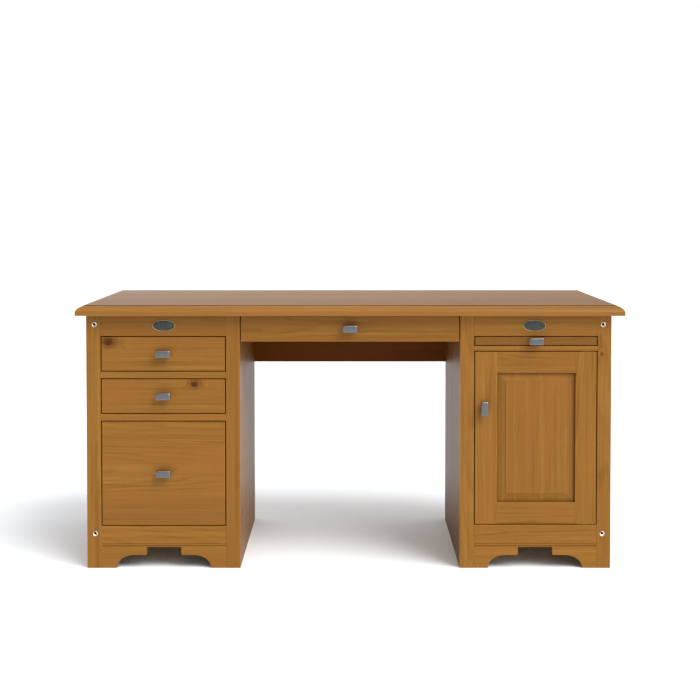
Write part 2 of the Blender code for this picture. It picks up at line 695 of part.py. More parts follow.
def leaf_mesh(name):
    """A flat leaf with round ends; local X runs from the pivot along the door's edge."""
    radius = LEAF_WIDTH / 2
    near = arc((0, 0), (radius, radius), -90, 90, 8)
    far = arc((-(LEAF_LENGTH - LEAF_WIDTH), 0), (radius, radius), 90, 270, 8)
    return outline_mesh(name, near + far, LEAF_THICKNESS)


def build_hinge(level, pivot, carcass_edge, door_edge, axis, stile):
    """A pivot hinge: a leaf with a pin on the carcass, and a leaf with a hole on the door."""
    towards_door = 1 if door_edge > carcass_edge else -1
    fixed_z = carcass_edge + towards_door * (FIT + LEAF_THICKNESS / 2)
    moving_z = door_edge - towards_door * (FIT + LEAF_THICKNESS / 2)
    fixed_name = f"{level}_hinge_frame_leaf"
    fixed = add_part(fixed_name, leaf_mesh(fixed_name), (*pivot, fixed_z))
    pin_z = fixed_z + towards_door * PIN_LENGTH / 2
    pin = cylinder_mesh(f"{level}_pin", PIN_RADIUS, PIN_LENGTH)
    combine(fixed, add_tool(f"{level}_pin", pin, (*pivot, pin_z)), "UNION")

    moving_name = f"{level}_hinge_door_leaf"
    moving = add_part(moving_name, leaf_mesh(moving_name), (*pivot, moving_z), axis)
    hole = cylinder_mesh(f"{level}_pin_hole", PIN_RADIUS + PIN_CLEARANCE, 2 * PIN_LENGTH)
    tool = add_tool(f"{level}_pin_hole", hole, (*pivot, fixed_z + towards_door * FIT))
    combine(moving, tool, "DIFFERENCE")
    combine(stile, tool, "DIFFERENCE")


# ---------------------------------------------------------------- the desk
clear_scene()
desk = new_collection("writing_desk")
cutters = new_collection("cutters")
build_top()
build_pedestal("left", LEFT)
build_pedestal("right", RIGHT)
build_left_dividers()
build_right_shelves()
build_kneehole()
build_plaque("left")
build_plaque("right")
build_left_drawers()
build_centre_drawer()
build_slide()
build_door()
bpy.context.view_layer.update()
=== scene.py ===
"""Looks of the writing desk: stained pine, pewter pulls, and the fittings behind the front.

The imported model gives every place. A piece that stands for a CAD node, or that is added
inside the desk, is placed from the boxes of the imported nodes. Metres, +Z up, the front
faces -Y.
"""
import math

import bmesh
import bpy
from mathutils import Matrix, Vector


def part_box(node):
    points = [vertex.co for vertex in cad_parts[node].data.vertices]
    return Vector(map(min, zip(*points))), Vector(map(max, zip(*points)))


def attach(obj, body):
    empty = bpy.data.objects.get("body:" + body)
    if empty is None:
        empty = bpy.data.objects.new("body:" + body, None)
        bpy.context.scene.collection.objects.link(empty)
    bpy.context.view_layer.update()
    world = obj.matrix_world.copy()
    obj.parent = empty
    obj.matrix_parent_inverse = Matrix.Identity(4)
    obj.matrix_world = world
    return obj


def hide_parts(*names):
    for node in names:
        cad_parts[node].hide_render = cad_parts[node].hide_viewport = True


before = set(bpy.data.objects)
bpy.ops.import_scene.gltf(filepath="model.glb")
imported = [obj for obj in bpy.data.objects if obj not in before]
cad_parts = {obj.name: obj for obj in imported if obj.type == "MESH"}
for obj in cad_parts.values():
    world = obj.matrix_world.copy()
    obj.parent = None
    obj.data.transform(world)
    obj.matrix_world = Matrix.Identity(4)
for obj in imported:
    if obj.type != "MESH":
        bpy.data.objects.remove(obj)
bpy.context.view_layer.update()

# ------------------------------ camera and light
LENS = 69.74                # mm
SENSOR_WIDTH = 36.0         # mm
CAMERA_DISTANCE = 3.959     # in front of the stiles
CAMERA_HEIGHT = 1.078
CAMERA_PITCH = 1.938        # degrees below level
CAMERA_SHIFT = -0.1464      # the picture's share below the lens axis
CAMERA_REACH = 100.0

FLOOR_RADIUS = 60.0
FLOOR_COLOUR = (0.91, 0.94, 0.965, 1.0)
SKY_HORIZON = 0.12          # the dim part of the studio, all round
# Each lobe of the sky: its power, its aim, and the power of the cosine from the aim.
SKY_DOME = (1.80, (0.52, -0.50, 0.70), 2.2)    # the softbox overhead, to the right and in front
SKY_WALL = (0.62, (0.0, 1.0, 0.12), 5.0)       # the lit white wall behind the desk
SKY_FILL = (1.05, (-0.55, 0.55, 0.62), 4.0)    # from behind, high on the left
KEY_AIM = (0.62, -0.56, 0.86)
KEY_SOFTNESS = 40.0         # degrees
KEY_STRENGTH = 2.4

# ------------------------------ colours, linear
KNOT_DARK = (0.055, 0.012, 0.001)
POOLED_STAIN_AND_SHADE = (0.045, 0.010, 0.001)    # stain pooled in the gaps and grooves, and painted shade there
PEWTER = (0.130, 0.132, 0.145)
PEWTER_WORN = (0.250, 0.240, 0.225)
PATINA = (0.050, 0.055, 0.040)
CREAM_METAL = (0.800, 0.700, 0.500)
NICKEL = (0.860, 0.800, 0.690)
SOCKET_SHADE = (0.020, 0.012, 0.008)
BRONZE = (0.090, 0.050, 0.022)
BRONZE_WORN = (0.160, 0.095, 0.045)
BRASS = (0.42, 0.32, 0.17)
BRASS_WORN = (0.58, 0.49, 0.33)
ZINC = (0.420, 0.410, 0.400)
ZINC_DULL = (0.230, 0.225, 0.215)

STAINED = {
    "Light": (0.277, 0.132, 0.022),
    "Dark": (0.156, 0.053, 0.005),
    "Red": (0.236, 0.092, 0.015),
    "Wear and highlight": 1.0,
    "Contrast": 1.0,
}
SHADED = {
    # the modesty panel's stain, darker and redder as painted shade of the kneehole
    "Light": (0.300, 0.100, 0.008),
    "Dark": (0.185, 0.050, 0.003),
    "Red": (0.250, 0.070, 0.004),
}
BARE = {
    "Light": (0.700, 0.520, 0.310),
    "Dark": (0.500, 0.310, 0.140),
    "Red": (0.640, 0.410, 0.220),
    "Wear and highlight": 0.0,
    "Contrast": 0.9,
}

# ------------------------------ wood figure
WHOLE_BOARD = 10.0          # a stave width that leaves a board in one piece
RING_SPACING = 0.0044
FIBRE_SCALE = 900.0         # these scales run across the grain, per metre
FIBRE_ALONG = 16.0          # and these along it
STREAK_SCALE = 95.0
STREAK_ALONG = 1.8
HUE_SCALE = 55.0
HUE_ALONG = 1.1
CLOUD_SCALE = 13.0
CLOUD_ALONG = 4.0
DASH_SCALE = 420.0
DASH_ALONG = 34.0
STREAK_SHARE = 1.5          # how much each figure darkens the grain
RING_SHARE = 0.36
FIBRE_SHARE = 0.55
DASH_SHARE = 0.35
GRAIN_BASE = 0.30
KNOT_CELLS = (6.0, 4.0)     # cells of scattered knots per metre, across and along
KNOT_WARP_SCALE = 70.0
KNOT_WARP = (2.6, 3.2)      # how far a placed knot is warped, in radii
KNOT_LENGTH = 1.35          # its length along the grain, as a share of its width
KNOT_RAGGED_SCALE = (110.0, 90.0)
KNOT_RAGGED = 1.3
KNOT_SWELL = 0.021          # how far a knot bends the rings round it
POOLED_STAIN_AND_SHADE_SHARE = 0.75
POOLED_STAIN_AND_SHADE_START = (0.0004, 0.0012)     # depths behind the front where the pooled stain and painted shade fade in and out
POOLED_STAIN_AND_SHADE_END = (0.0080, 0.0030)       # fades in and out
WEAR_AND_HIGHLIGHT_WIDTH = 0.0018         # how far the worn edges and their painted highlight reach
WEAR_AND_HIGHLIGHT_CORE = 0.0003
WEAR_AND_HIGHLIGHT_SHARE = 0.42
GRAIN_RELIEF = {"Strength": 0.35, "Distance": 0.0003}
SHEEN = 0.36                # roughness of the lacquer
WOOD_SPECULAR = 0.04
FRONT_LACQUER = 0.18
SIDE_LACQUER = 0.03
FRONT_BOARD = 0.025         # boards of the front are thinner than this
ARRIS = 0.0005
BARE_ARRIS = 0.0004


# ------------------------------ node helpers
def feed(tree, socket, value):
    """Link a socket to another one, or give it a plain value."""
    if isinstance(value, bpy.types.NodeSocket):
        tree.links.new(value, socket)
    else:
        socket.default_value = value


def add_node(tree, kind, values=(), **settings):
    """A shader node with its settings, and values or links for its inputs."""
    made = tree.nodes.new(kind)
    for name, setting in settings.items():
        setattr(made, name, setting)
    for key, value in dict(values).items():
        feed(tree, made.inputs[key], value)
    return made


def calc(tree, operation, *values):
    return add_node(tree, "ShaderNodeMath", enumerate(values), operation=operation).outputs[0]


def times_plus(tree, value, factor, addend):
    return calc(tree, "MULTIPLY_ADD", value, factor, addend)


def less_half(tree, value):
    """A value from 0 to 1, centred on zero."""
    return calc(tree, "SUBTRACT", value, 0.5)


def product(tree, *values):
    result = values[0]
    for value in values[1:]:
        result = calc(tree, "MULTIPLY", result, value)
    return result


def length_of(tree, first, second):
    squares = calc(tree, "ADD", product(tree, first, first), product(tree, second, second))
    return calc(tree, "SQRT", squares)


def vector_calc(tree, operation, *values):
    made = add_node(tree, "ShaderNodeVectorMath", enumerate(values), operation=operation)
    return made.outputs["Value" if operation == "DOT_PRODUCT" else 0]


def smooth(tree, value, low, high, bottom=0.0, top=1.0):
    """Goes smoothly from bottom to top as the value goes from low to high; high may be the lower."""
    values = {"Value": value, "From Min": low, "From Max": high, "To Min": bottom, "To Max": top}
    return add_node(tree, "ShaderNodeMapRange", values, interpolation_type="SMOOTHSTEP").outputs[0]


def blend(tree, factor, first, second, mode="MIX"):
    made = add_node(tree, "ShaderNodeMix", data_type="RGBA", blend_type=mode)
    feed(tree, made.inputs[0], factor)
    for socket, value in ((made.inputs[6], first), (made.inputs[7], second)):
        feed(tree, socket, value if isinstance(value, bpy.types.NodeSocket) else (*value, 1.0))
    return made.outputs[2]


def vector(tree, x, y, z):
    return add_node(tree, "ShaderNodeCombineXYZ", {0: x, 1: y, 2: z}).outputs[0]


def separate(tree, value):
    return add_node(tree, "ShaderNodeSeparateXYZ", {0: value}).outputs


def noise(tree, place, detail, roughness=0.5, scale=1.0):
    values = {"Vector": place, "Scale": scale, "Detail": detail, "Roughness": roughness}
    return add_node(tree, "ShaderNodeTexNoise", values).outputs[0]


def hashed(tree, value):
    """A random value and a random colour for each number."""
    return add_node(tree, "ShaderNodeTexWhiteNoise", {"W": value}, noise_dimensions="1D").outputs


def new_group(name, inputs, outputs):
    """A node group with typed sockets; returns it with its inner input and output sockets."""
    group = bpy.data.node_groups.new(name, "ShaderNodeTree")
    for label, kind in inputs:
        group.interface.new_socket(label, in_out="INPUT", socket_type="NodeSocket" + kind)
    for label, kind in outputs:
        group.interface.new_socket(label, in_out="OUTPUT", socket_type="NodeSocket" + kind)
    given = group.nodes.new("NodeGroupInput").outputs
    return group, given, group.nodes.new("NodeGroupOutput").inputs


# ------------------------------ pine
def stave_nodes(tree, across, seed, width):
    """Splits a glued-up board into staves: place across the stave, and random numbers for it."""
    count = calc(tree, "ADD", calc(tree, "DIVIDE", across, width), 0.5)
    index = calc(tree, "FLOOR", count)
    share = less_half(tree, calc(tree, "SUBTRACT", count, index))
    own_across = product(tree, share, width)
    tone, colour = hashed(tree, times_plus(tree, index, 7.31, seed))
    reach = product(tree, width, 0.5)
    from_edge = calc(tree, "SUBTRACT", reach, calc(tree, "ABSOLUTE", own_across))
    joint = smooth(tree, from_edge, 0.0005, 0.0001)
    return own_across, tone, separate(tree, colour), joint


def placed_knot(tree, across, along, seed, knot):
    """Distance from the listed knot, as a share of its radius, with a warped outline."""
    knot_across, knot_along, radius = separate(tree, knot)
    warp_across = product(tree, across, KNOT_WARP_SCALE)
    warp_along = product(tree, along, KNOT_WARP_SCALE)
    place = vector(tree, warp_across, warp_along, calc(tree, "ADD", seed, 5.0))
    swirl = add_node(tree, "ShaderNodeTexNoise", {"Vector": place, "Detail": 1.0}).outputs["Color"]
    warp = separate(tree, swirl)
    across = times_plus(tree, less_half(tree, warp[0]), product(tree, radius, KNOT_WARP[0]), across)
    along = times_plus(tree, less_half(tree, warp[1]), product(tree, radius, KNOT_WARP[1]), along)
    across = calc(tree, "DIVIDE", calc(tree, "SUBTRACT", across, knot_across), radius)
    along = calc(tree, "SUBTRACT", along, knot_along)
    along = calc(tree, "DIVIDE", along, product(tree, radius, KNOT_LENGTH))
    return length_of(tree, across, along)


def knot_nodes(tree, across, along, seed, knot, chance):
    """Distance from the nearest knot, scattered or placed, as a share of its radius."""
    cell_across = times_plus(tree, across, KNOT_CELLS[0], seed)
    place = vector(tree, cell_across, product(tree, along, KNOT_CELLS[1]), seed)
    cells = add_node(tree, "ShaderNodeTexVoronoi", {"Vector": place, "Scale": 1.0}).outputs
    luck = separate(tree, cells["Color"])[0]
    radius = smooth(tree, luck, calc(tree, "SUBTRACT", 1.0, chance), 1.0, 0.0001, 0.060)
    scattered = calc(tree, "DIVIDE", cells["Distance"], radius)
    placed = placed_knot(tree, across, along, seed, knot)
    ragged_across = product(tree, across, KNOT_RAGGED_SCALE[0])
    ragged_place = vector(tree, ragged_across, product(tree, along, KNOT_RAGGED_SCALE[1]), seed)
    ragged = noise(tree, ragged_place, 3.0, 0.6)
    nearest = calc(tree, "MINIMUM", scattered, placed)
    return times_plus(tree, less_half(tree, ragged), KNOT_RAGGED, nearest)


def ring_nodes(tree, across, depth, along, seed, pith, luck, knot):
    """Growth rings round a pith line behind the board: 0 is early wood, 1 the dark late wood."""
    slow_place = vector(tree, product(tree, across, 7.0), seed, product(tree, along, 1.1))
    slow = noise(tree, slow_place, 2.0)
    quick_place = vector(tree, product(tree, across, 42.0), seed, product(tree, along, 7.0))
    quick = noise(tree, quick_place, 1.0)
    side = calc(tree, "SUBTRACT", across, times_plus(tree, luck[0], 0.10, -0.05))
    tilt = times_plus(tree, luck[2], 0.06, -0.03)
    pith_depth = product(tree, pith, calc(tree, "ADD", luck[1], 0.5))
    deep = calc(tree, "ADD", times_plus(tree, along, tilt, pith_depth), depth)
    radius = length_of(tree, side, deep)
    radius = times_plus(tree, slow, 0.020, radius)
    radius = times_plus(tree, quick, 0.0042, radius)
    swell = calc(tree, "POWER", 2.718, product(tree, knot, knot, -0.16))
    radius = times_plus(tree, swell, KNOT_SWELL, radius)
    count = calc(tree, "DIVIDE", radius, RING_SPACING)
    index = calc(tree, "FLOOR", count)
    share = calc(tree, "SUBTRACT", count, index)
    late = product(tree, smooth(tree, share, 0.25, 0.90), smooth(tree, share, 1.0, 0.93))
    strength = hashed(tree, calc(tree, "ADD", index, seed))[0]
    return product(tree, late, times_plus(tree, strength, 0.65, 0.35))


def edge_nodes(tree, place, half):
    """Distance from the board's nearest edge: the middle one of the distances to its faces."""
    gaps = vector_calc(tree, "SUBTRACT", half, vector_calc(tree, "ABSOLUTE", place))
    x, y, z = separate(tree, gaps)
    low = calc(tree, "MINIMUM", x, y)
    high = calc(tree, "MAXIMUM", x, y)
    return calc(tree, "MAXIMUM", low, calc(tree, "MINIMUM", high, z)), z


def make_pine_group():
    """Pine: Position runs across (X), through (Y) and along (Z) the board, from its centre."""
    vectors = ("Position", "Half", "Knot")
    numbers = ("Seed", "Stave", "Pith", "Knots", "Contrast", "Tone", "Redness", "Wear and highlight", "Behind")
    inputs = [(label, "Vector") for label in vectors]
    inputs += [(label, "Float") for label in numbers]
    inputs += [(label, "Color") for label in ("Light", "Dark", "Red")]
    outputs = [("Color", "Color"), ("Roughness", "Float"), ("Height", "Float")]
    tree, given, result = new_group("pine", inputs, outputs)
    across, depth, along = separate(tree, given["Position"])
    seed = given["Seed"]

    own_across, tone, luck, joint = stave_nodes(tree, across, seed, given["Stave"])
    own_along = times_plus(tree, luck[2], 3.0, along)
    own_seed = times_plus(tree, tone, 31.0, seed)
    knot = knot_nodes(tree, across, along, seed, given["Knot"], given["Knots"])
    late = ring_nodes(tree, own_across, depth, own_along, own_seed, given["Pith"], luck, knot)

    def figure(scale, along_scale, shift, detail, roughness=0.5):
        """Noise drawn out along the grain; a shift gives each stave its own."""
        if shift is None:
            u = product(tree, across, scale)
        else:
            u = times_plus(tree, across, scale, shift)
        v = product(tree, depth, scale)
        place = vector(tree, u, v, product(tree, own_along, along_scale))
        return noise(tree, place, detail, roughness)

    fibre = figure(FIBRE_SCALE, FIBRE_ALONG, None, 2.0, 0.6)
    streak = figure(STREAK_SCALE, STREAK_ALONG, own_seed, 3.0, 0.6)
    cloud_across = times_plus(tree, across, CLOUD_SCALE, own_seed)
    cloud_place = vector(tree, cloud_across, depth, product(tree, own_along, CLOUD_ALONG))
    cloud = noise(tree, cloud_place, 2.0)
    dash = smooth(tree, figure(DASH_SCALE, DASH_ALONG, None, 0.0), 0.70, 0.84)
    hue = figure(HUE_SCALE, HUE_ALONG, own_seed, 2.0, 0.6)

    grain = times_plus(tree, less_half(tree, streak), STREAK_SHARE, GRAIN_BASE)
    grain = times_plus(tree, late, RING_SHARE, grain)
    grain = times_plus(tree, less_half(tree, fibre), FIBRE_SHARE, grain)
    grain = times_plus(tree, dash, DASH_SHARE, grain)
    centred = product(tree, less_half(tree, grain), given["Contrast"])
    grain = add_node(tree, "ShaderNodeClamp", {0: calc(tree, "ADD", centred, 0.5)}).outputs[0]
    colour = blend(tree, grain, given["Light"], given["Dark"])

    ruddy = times_plus(tree, hue, 0.55, product(tree, cloud, 0.45))
    red = smooth(tree, calc(tree, "ADD", ruddy, given["Redness"]), 0.42, 0.62, 0.0, 0.85)
    colour = blend(tree, red, colour, given["Red"])
    halo = smooth(tree, knot, 3.2, 1.0, 0.0, 0.55)
    colour = blend(tree, halo, colour, given["Dark"])
    rim = product(tree, smooth(tree, knot, 0.60, 0.95), smooth(tree, knot, 1.35, 1.0))
    heart = smooth(tree, knot, 1.05, 0.80, 0.0, 0.92)
    swirl = product(tree, late, smooth(tree, knot, 4.0, 1.2), 0.9)
    burl = calc(tree, "MAXIMUM", calc(tree, "MAXIMUM", product(tree, rim, 0.95), heart), swirl)
    colour = blend(tree, burl, colour, KNOT_DARK)
    # stain pooled in the gaps and grooves behind the front, darkened further as painted shade
    fade_in = smooth(tree, given["Behind"], *POOLED_STAIN_AND_SHADE_START)
    stain_and_gap_shade_mask = product(tree, fade_in, smooth(tree, given["Behind"], *POOLED_STAIN_AND_SHADE_END, 0.0, POOLED_STAIN_AND_SHADE_SHARE))
    colour = blend(tree, stain_and_gap_shade_mask, colour, POOLED_STAIN_AND_SHADE)

    brightness = times_plus(tree, less_half(tree, tone), 0.16, given["Tone"])
    brightness = times_plus(tree, less_half(tree, cloud), 0.22, brightness)
    brightness = times_plus(tree, joint, -0.14, brightness)
    edge, end_gap = edge_nodes(tree, given["Position"], given["Half"])
    end_grain = smooth(tree, end_gap, 0.0012, 0.0002, 0.0, -0.16)
    brightness = calc(tree, "ADD", brightness, end_grain)
    # worn stain and a painted highlight along the arrises
    wear_and_highlight = product(tree, smooth(tree, edge, WEAR_AND_HIGHLIGHT_WIDTH, WEAR_AND_HIGHLIGHT_CORE), given["Wear and highlight"])
    uneven = smooth(tree, streak, 0.25, 0.65, 0.35, 1.0)
    wear_and_highlight = product(tree, wear_and_highlight, uneven, calc(tree, "SUBTRACT", 1.0, stain_and_gap_shade_mask))
    brightness = times_plus(tree, wear_and_highlight, WEAR_AND_HIGHLIGHT_SHARE, brightness)
    shade = vector(tree, brightness, brightness, brightness)
    feed(tree, result["Color"], blend(tree, 1.0, colour, shade, "MULTIPLY"))

    rough = times_plus(tree, fibre, 0.14, 0.36)
    feed(tree, result["Roughness"], times_plus(tree, late, -0.06, rough))
    relief = times_plus(tree, late, 0.5, product(tree, fibre, 0.45))
    relief = times_plus(tree, dash, -0.6, relief)
    feed(tree, result["Height"], times_plus(tree, joint, -0.8, relief))
    return tree


PINE = make_pine_group()


def new_shader(name, roughness, metallic=0.0, **sockets):
    """A material's tree and its Principled shader, with the values that are the same all over."""
    material = bpy.data.materials.new(name)
    material.use_nodes = True
    shader = material.node_tree.nodes["Principled BSDF"]
    shader.inputs["Roughness"].default_value = roughness
    shader.inputs["Metallic"].default_value = metallic
    for label, value in sockets.items():
        shader.inputs[label.replace("_", " ")].default_value = value
    return material, material.node_tree, shader


def from_centre(tree, low, high):
    """Place in the object's frame, from the centre of a box."""
    place = add_node(tree, "ShaderNodeTexCoord").outputs["Object"]
    return vector_calc(tree, "SUBTRACT", place, (low + high) / 2)


def board_axes(low, high, grain):
    """Axis numbers across, through and along a board: the grain, then the thinner of the rest."""
    along = "XYZ".index(grain)
    rest = sorted((i for i in range(3) if i != along), key=lambda i: high[i] - low[i])
    return rest[1], rest[0], along


def pine_material(
    name, low, high, look, grain, seed, lacquer, knot=None, stain_and_gap_shade=False, sheen=SHEEN, **changes
):
    """Pine for the board between two corners. A knot is its place on the object, and its radius."""
    sockets = {"Coat_Weight": lacquer, "Coat_Roughness": sheen, "Specular_IOR_Level": WOOD_SPECULAR}
    material, tree, shader = new_shader(name, 0.4, **sockets)
    axes = board_axes(low, high, grain)
    centre = (low + high) / 2
    parts = separate(tree, from_centre(tree, low, high))
    values = {"Stave": WHOLE_BOARD, "Pith": 0.07, "Knots": 0.0, "Tone": 1.0, "Redness": 0.0}
    values.update(look)
    values.update(changes)
    values["Seed"] = seed
    values["Half"] = [(high[i] - low[i]) / 2 for i in axes]
    if knot is None:
        values["Knot"] = (WHOLE_BOARD, 0.0, 0.001)
    else:
        place, radius = knot
        values["Knot"] = (place[axes[0]] - centre[axes[0]], place[axes[2]] - centre[axes[2]], radius)
    pine = add_node(tree, "ShaderNodeGroup", node_tree=PINE)
    for label, value in values.items():
        pine.inputs[label].default_value = (*value, 1.0) if label in ("Light", "Dark", "Red") else value
    feed(tree, pine.inputs["Position"], vector(tree, *(parts[i] for i in axes)))
    # pooled stain and painted shade in the gaps, by depth behind the front
    if stain_and_gap_shade:
        feed(tree, pine.inputs["Behind"], calc(tree, "ADD", parts[1], (high.y - low.y) / 2))
    relief = add_node(tree, "ShaderNodeBump", {**GRAIN_RELIEF, "Height": pine.outputs["Height"]})
    feed(tree, shader.inputs["Base Color"], pine.outputs["Color"])
    feed(tree, shader.inputs["Roughness"], pine.outputs["Roughness"])
    feed(tree, shader.inputs["Normal"], relief.outputs[0])
    return material


# ------------------------------ metals
BRUSHED_SCALE = 900.0
BRUSHED_ALONG = 40.0
TARNISH_SCALE = 140.0
RUBBED_EDGE = (0.0032, 0.0010)
METAL_RELIEF = {"Strength": 0.25, "Distance": 0.0001}


def metal_material(name, colour, worn, roughness, brushed_axis=None, box=None, dark=None):
    """Metal with brushing along an axis and cloudy tarnish.

    The box of the piece gives it edges rubbed brighter, and dark may paint shade into its tint by place.
    """
    material, tree, shader = new_shader(name, roughness, 1.0)
    place = add_node(tree, "ShaderNodeTexCoord").outputs["Object"]
    stretch = [BRUSHED_SCALE] * 3
    if brushed_axis is not None:
        stretch["XYZ".index(brushed_axis)] = BRUSHED_ALONG
    lines = noise(tree, vector_calc(tree, "MULTIPLY", place, stretch), 2.0)
    tarnish = noise(tree, place, 3.0, scale=TARNISH_SCALE)
    mixed = times_plus(tree, lines, 0.5, product(tree, tarnish, 0.5))
    tint = blend(tree, smooth(tree, mixed, 0.35, 0.65, 0.0, 0.35), colour, worn)
    if box is not None:
        low, high = box
        edge, _ = edge_nodes(tree, from_centre(tree, low, high), (high - low) / 2)
        tint = blend(tree, smooth(tree, edge, *RUBBED_EDGE, 0.0, 0.8), tint, worn)
    if dark is not None:
        tint = dark(tree, place, tint)
    feed(tree, shader.inputs["Base Color"], tint)
    feed(tree, shader.inputs["Roughness"], times_plus(tree, lines, 0.16, roughness - 0.08))
    relief = add_node(tree, "ShaderNodeBump", {**METAL_RELIEF, "Height": lines})
    feed(tree, shader.inputs["Normal"], relief.outputs[0])
    return material


# ------------------------------ meshes
def add_object(name, data):
    made = bpy.data.objects.new(name, data)
    bpy.context.scene.collection.objects.link(made)
    return made


def add_piece(name, mesh, body, material, replaced=()):
    """A visible piece that rides on a body, with its finish and the CAD nodes that it stands for."""
    piece = add_object(name, mesh)
    mesh.materials.append(material)
    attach(piece, body)
    if replaced:
        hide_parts(*replaced)
    return piece


def mesh_from(name, shape, smooth_angle):
    """A mesh out of a bmesh, shaded smooth up to an angle."""
    bmesh.ops.recalc_face_normals(shape, faces=shape.faces)
    mesh = bpy.data.meshes.new(name)
    shape.to_mesh(mesh)
    shape.free()
    mesh.shade_smooth()
    mesh.set_sharp_from_angle(angle=math.radians(smooth_angle))
    return mesh


def loft(name, rings, smooth_angle, ring_shaped=False):
    """Skin over closed rings with the same number of points; the ends are capped or joined up."""
    shape = bmesh.new()
    rows = [[shape.verts.new(point) for point in ring] for ring in rings]
    for near, far in zip(rows, rows[1:] + rows[:1] * ring_shaped):
        for i in range(len(near)):
            j = (i + 1) % len(near)
            shape.faces.new((near[i], near[j], far[j], far[i]))
    if not ring_shaped:
        shape.faces.new(rows[0][::-1])
        shape.faces.new(rows[-1])
    return mesh_from(name, shape, smooth_angle)


def arc_points(centre, radii, start, end, steps):
    """Points of an elliptical arc, angles in degrees."""
    points = []
    for i in range(steps + 1):
        angle = math.radians(start + (end - start) * i / steps)
        points.append((centre[0] + radii[0] * math.cos(angle), centre[1] + radii[1] * math.sin(angle)))
    return points


def circle_points(centre, radii, steps):
    return arc_points(centre, radii, 0, 360, steps)[:-1]


# ------------------------------ camera, light and floor
def make_camera():
    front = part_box("left_outer_stile")[0].y
    camera = add_object("camera", bpy.data.cameras.new("camera"))
    camera.data.lens = LENS
    camera.data.sensor_width = SENSOR_WIDTH
    camera.data.shift_y = CAMERA_SHIFT
    camera.data.clip_end = CAMERA_REACH
    camera.location = (0.0, front - CAMERA_DISTANCE, CAMERA_HEIGHT)
    camera.rotation_euler = (math.radians(90 - CAMERA_PITCH), 0.0, 0.0)
    bpy.context.scene.camera = camera
    bpy.context.scene.view_settings.view_transform = "Standard"


def make_sky():
    """A dim studio with a soft light overhead, a lit back wall and a fill; the camera sees white."""
    world = bpy.data.worlds.new("studio")
    world.use_nodes = True
    tree = world.node_tree
    direction = add_node(tree, "ShaderNodeTexCoord").outputs["Generated"]
    strength = SKY_HORIZON
    for power, aim, spread in (SKY_DOME, SKY_WALL, SKY_FILL):
        facing = vector_calc(tree, "DOT_PRODUCT", direction, Vector(aim).normalized())
        lobe = calc(tree, "POWER", calc(tree, "MAXIMUM", facing, 0.0), spread)
        strength = times_plus(tree, lobe, power, strength)
    seen = add_node(tree, "ShaderNodeLightPath").outputs["Is Camera Ray"]
    sky = tree.nodes["Background"]
    sky.inputs["Color"].default_value = (1.0, 1.0, 1.0, 1.0)
    feed(tree, sky.inputs["Strength"], calc(tree, "MAXIMUM", seen, strength))
    bpy.context.scene.world = world


def make_key():
    key = add_object("key", bpy.data.lights.new("key", "SUN"))
    key.data.angle = math.radians(KEY_SOFTNESS)
    key.data.energy = KEY_STRENGTH
    key.rotation_euler = Vector(KEY_AIM).to_track_quat("Z", "Y").to_euler()


def make_floor():
    shape = bmesh.new()
    bmesh.ops.create_circle(shape, cap_ends=True, segments=96, radius=FLOOR_RADIUS)
    floor = add_object("floor", mesh_from("floor", shape, 30))
    material, _, _ = new_shader("floor", 0.9, Specular_IOR_Level=0.0, Base_Color=FLOOR_COLOUR)
    floor.data.materials.append(material)


# ------------------------------ the carried-over boards
BOARDS = {
    # node: (grain, stave width, pith depth, tone, redness)
    "left_outer_stile": ("Z", WHOLE_BOARD, 0.06, 1.00, 0.00),
    "left_inner_stile": ("Z", WHOLE_BOARD, 0.04, 0.98, 0.03),
    "right_inner_stile": ("Z", WHOLE_BOARD, 0.08, 1.03, -0.02),
    "right_outer_stile": ("Z", WHOLE_BOARD, 0.09, 1.04, 0.00),
    "left_top_rail": ("X", WHOLE_BOARD, 0.07, 0.92, 0.10),
    "right_top_rail": ("X", WHOLE_BOARD, 0.05, 1.02, 0.02),
    # the bottom rails' higher tones are painted light on the lower front
    "left_bottom_rail": ("X", WHOLE_BOARD, 0.06, 1.13, 0.00),
    "right_bottom_rail": ("X", WHOLE_BOARD, 0.09, 1.13, 0.00),
    "left_upper_divider": ("X", 0.105, 0.06, 0.99, 0.00),
    "left_lower_divider": ("X", 0.105, 0.06, 1.00, 0.00),
    "slide_divider": ("X", 0.105, 0.06, 1.14, 0.00),
    "left_outer_side": ("Z", 0.104, 0.06, 1.00, 0.00),
    # the kneehole's inner sides and the modesty panel have lower tones: painted shade, darkest on the right
    # inner side
    "left_inner_side": ("Z", 0.104, 0.07, 0.84, 0.02),
    "right_inner_side": ("Z", 0.104, 0.07, 0.72, 0.02),
    "right_outer_side": ("Z", 0.104, 0.06, 1.00, 0.00),
    "modesty_panel": ("X", 0.125, 0.07, 0.62, 0.14),
    "upper_drawer_front": ("X", WHOLE_BOARD, 0.08, 0.95, 0.04),
    "middle_drawer_front": ("X", WHOLE_BOARD, 0.06, 0.94, 0.03),
    "file_drawer_front": ("X", 0.155, 0.08, 1.01, 0.03),
    "centre_drawer_front": ("X", WHOLE_BOARD, 0.06, 0.95, 0.06),
    "writing_slide_board": ("X", 0.130, 0.07, 0.86, 0.12),
    "door_left_stile": ("Z", WHOLE_BOARD, 0.08, 1.07, -0.02),
    # the door's right stile and bottom rail have higher tones: painted light
    "door_right_stile": ("Z", WHOLE_BOARD, 0.08, 1.11, -0.02),
    "door_top_rail": ("X", WHOLE_BOARD, 0.05, 0.99, 0.00),
    "door_bottom_rail": ("X", WHOLE_BOARD, 0.07, 1.12, 0.00),
    "door_panel": ("Z", 0.061, 0.05, 0.96, 0.02),
}
DRAWERS = ("upper_drawer", "middle_drawer", "file_drawer", "centre_drawer")
BARE_BOARDS = dict.fromkeys(("left_bottom_board", "right_bottom_board", "cupboard_shelf"), "X")
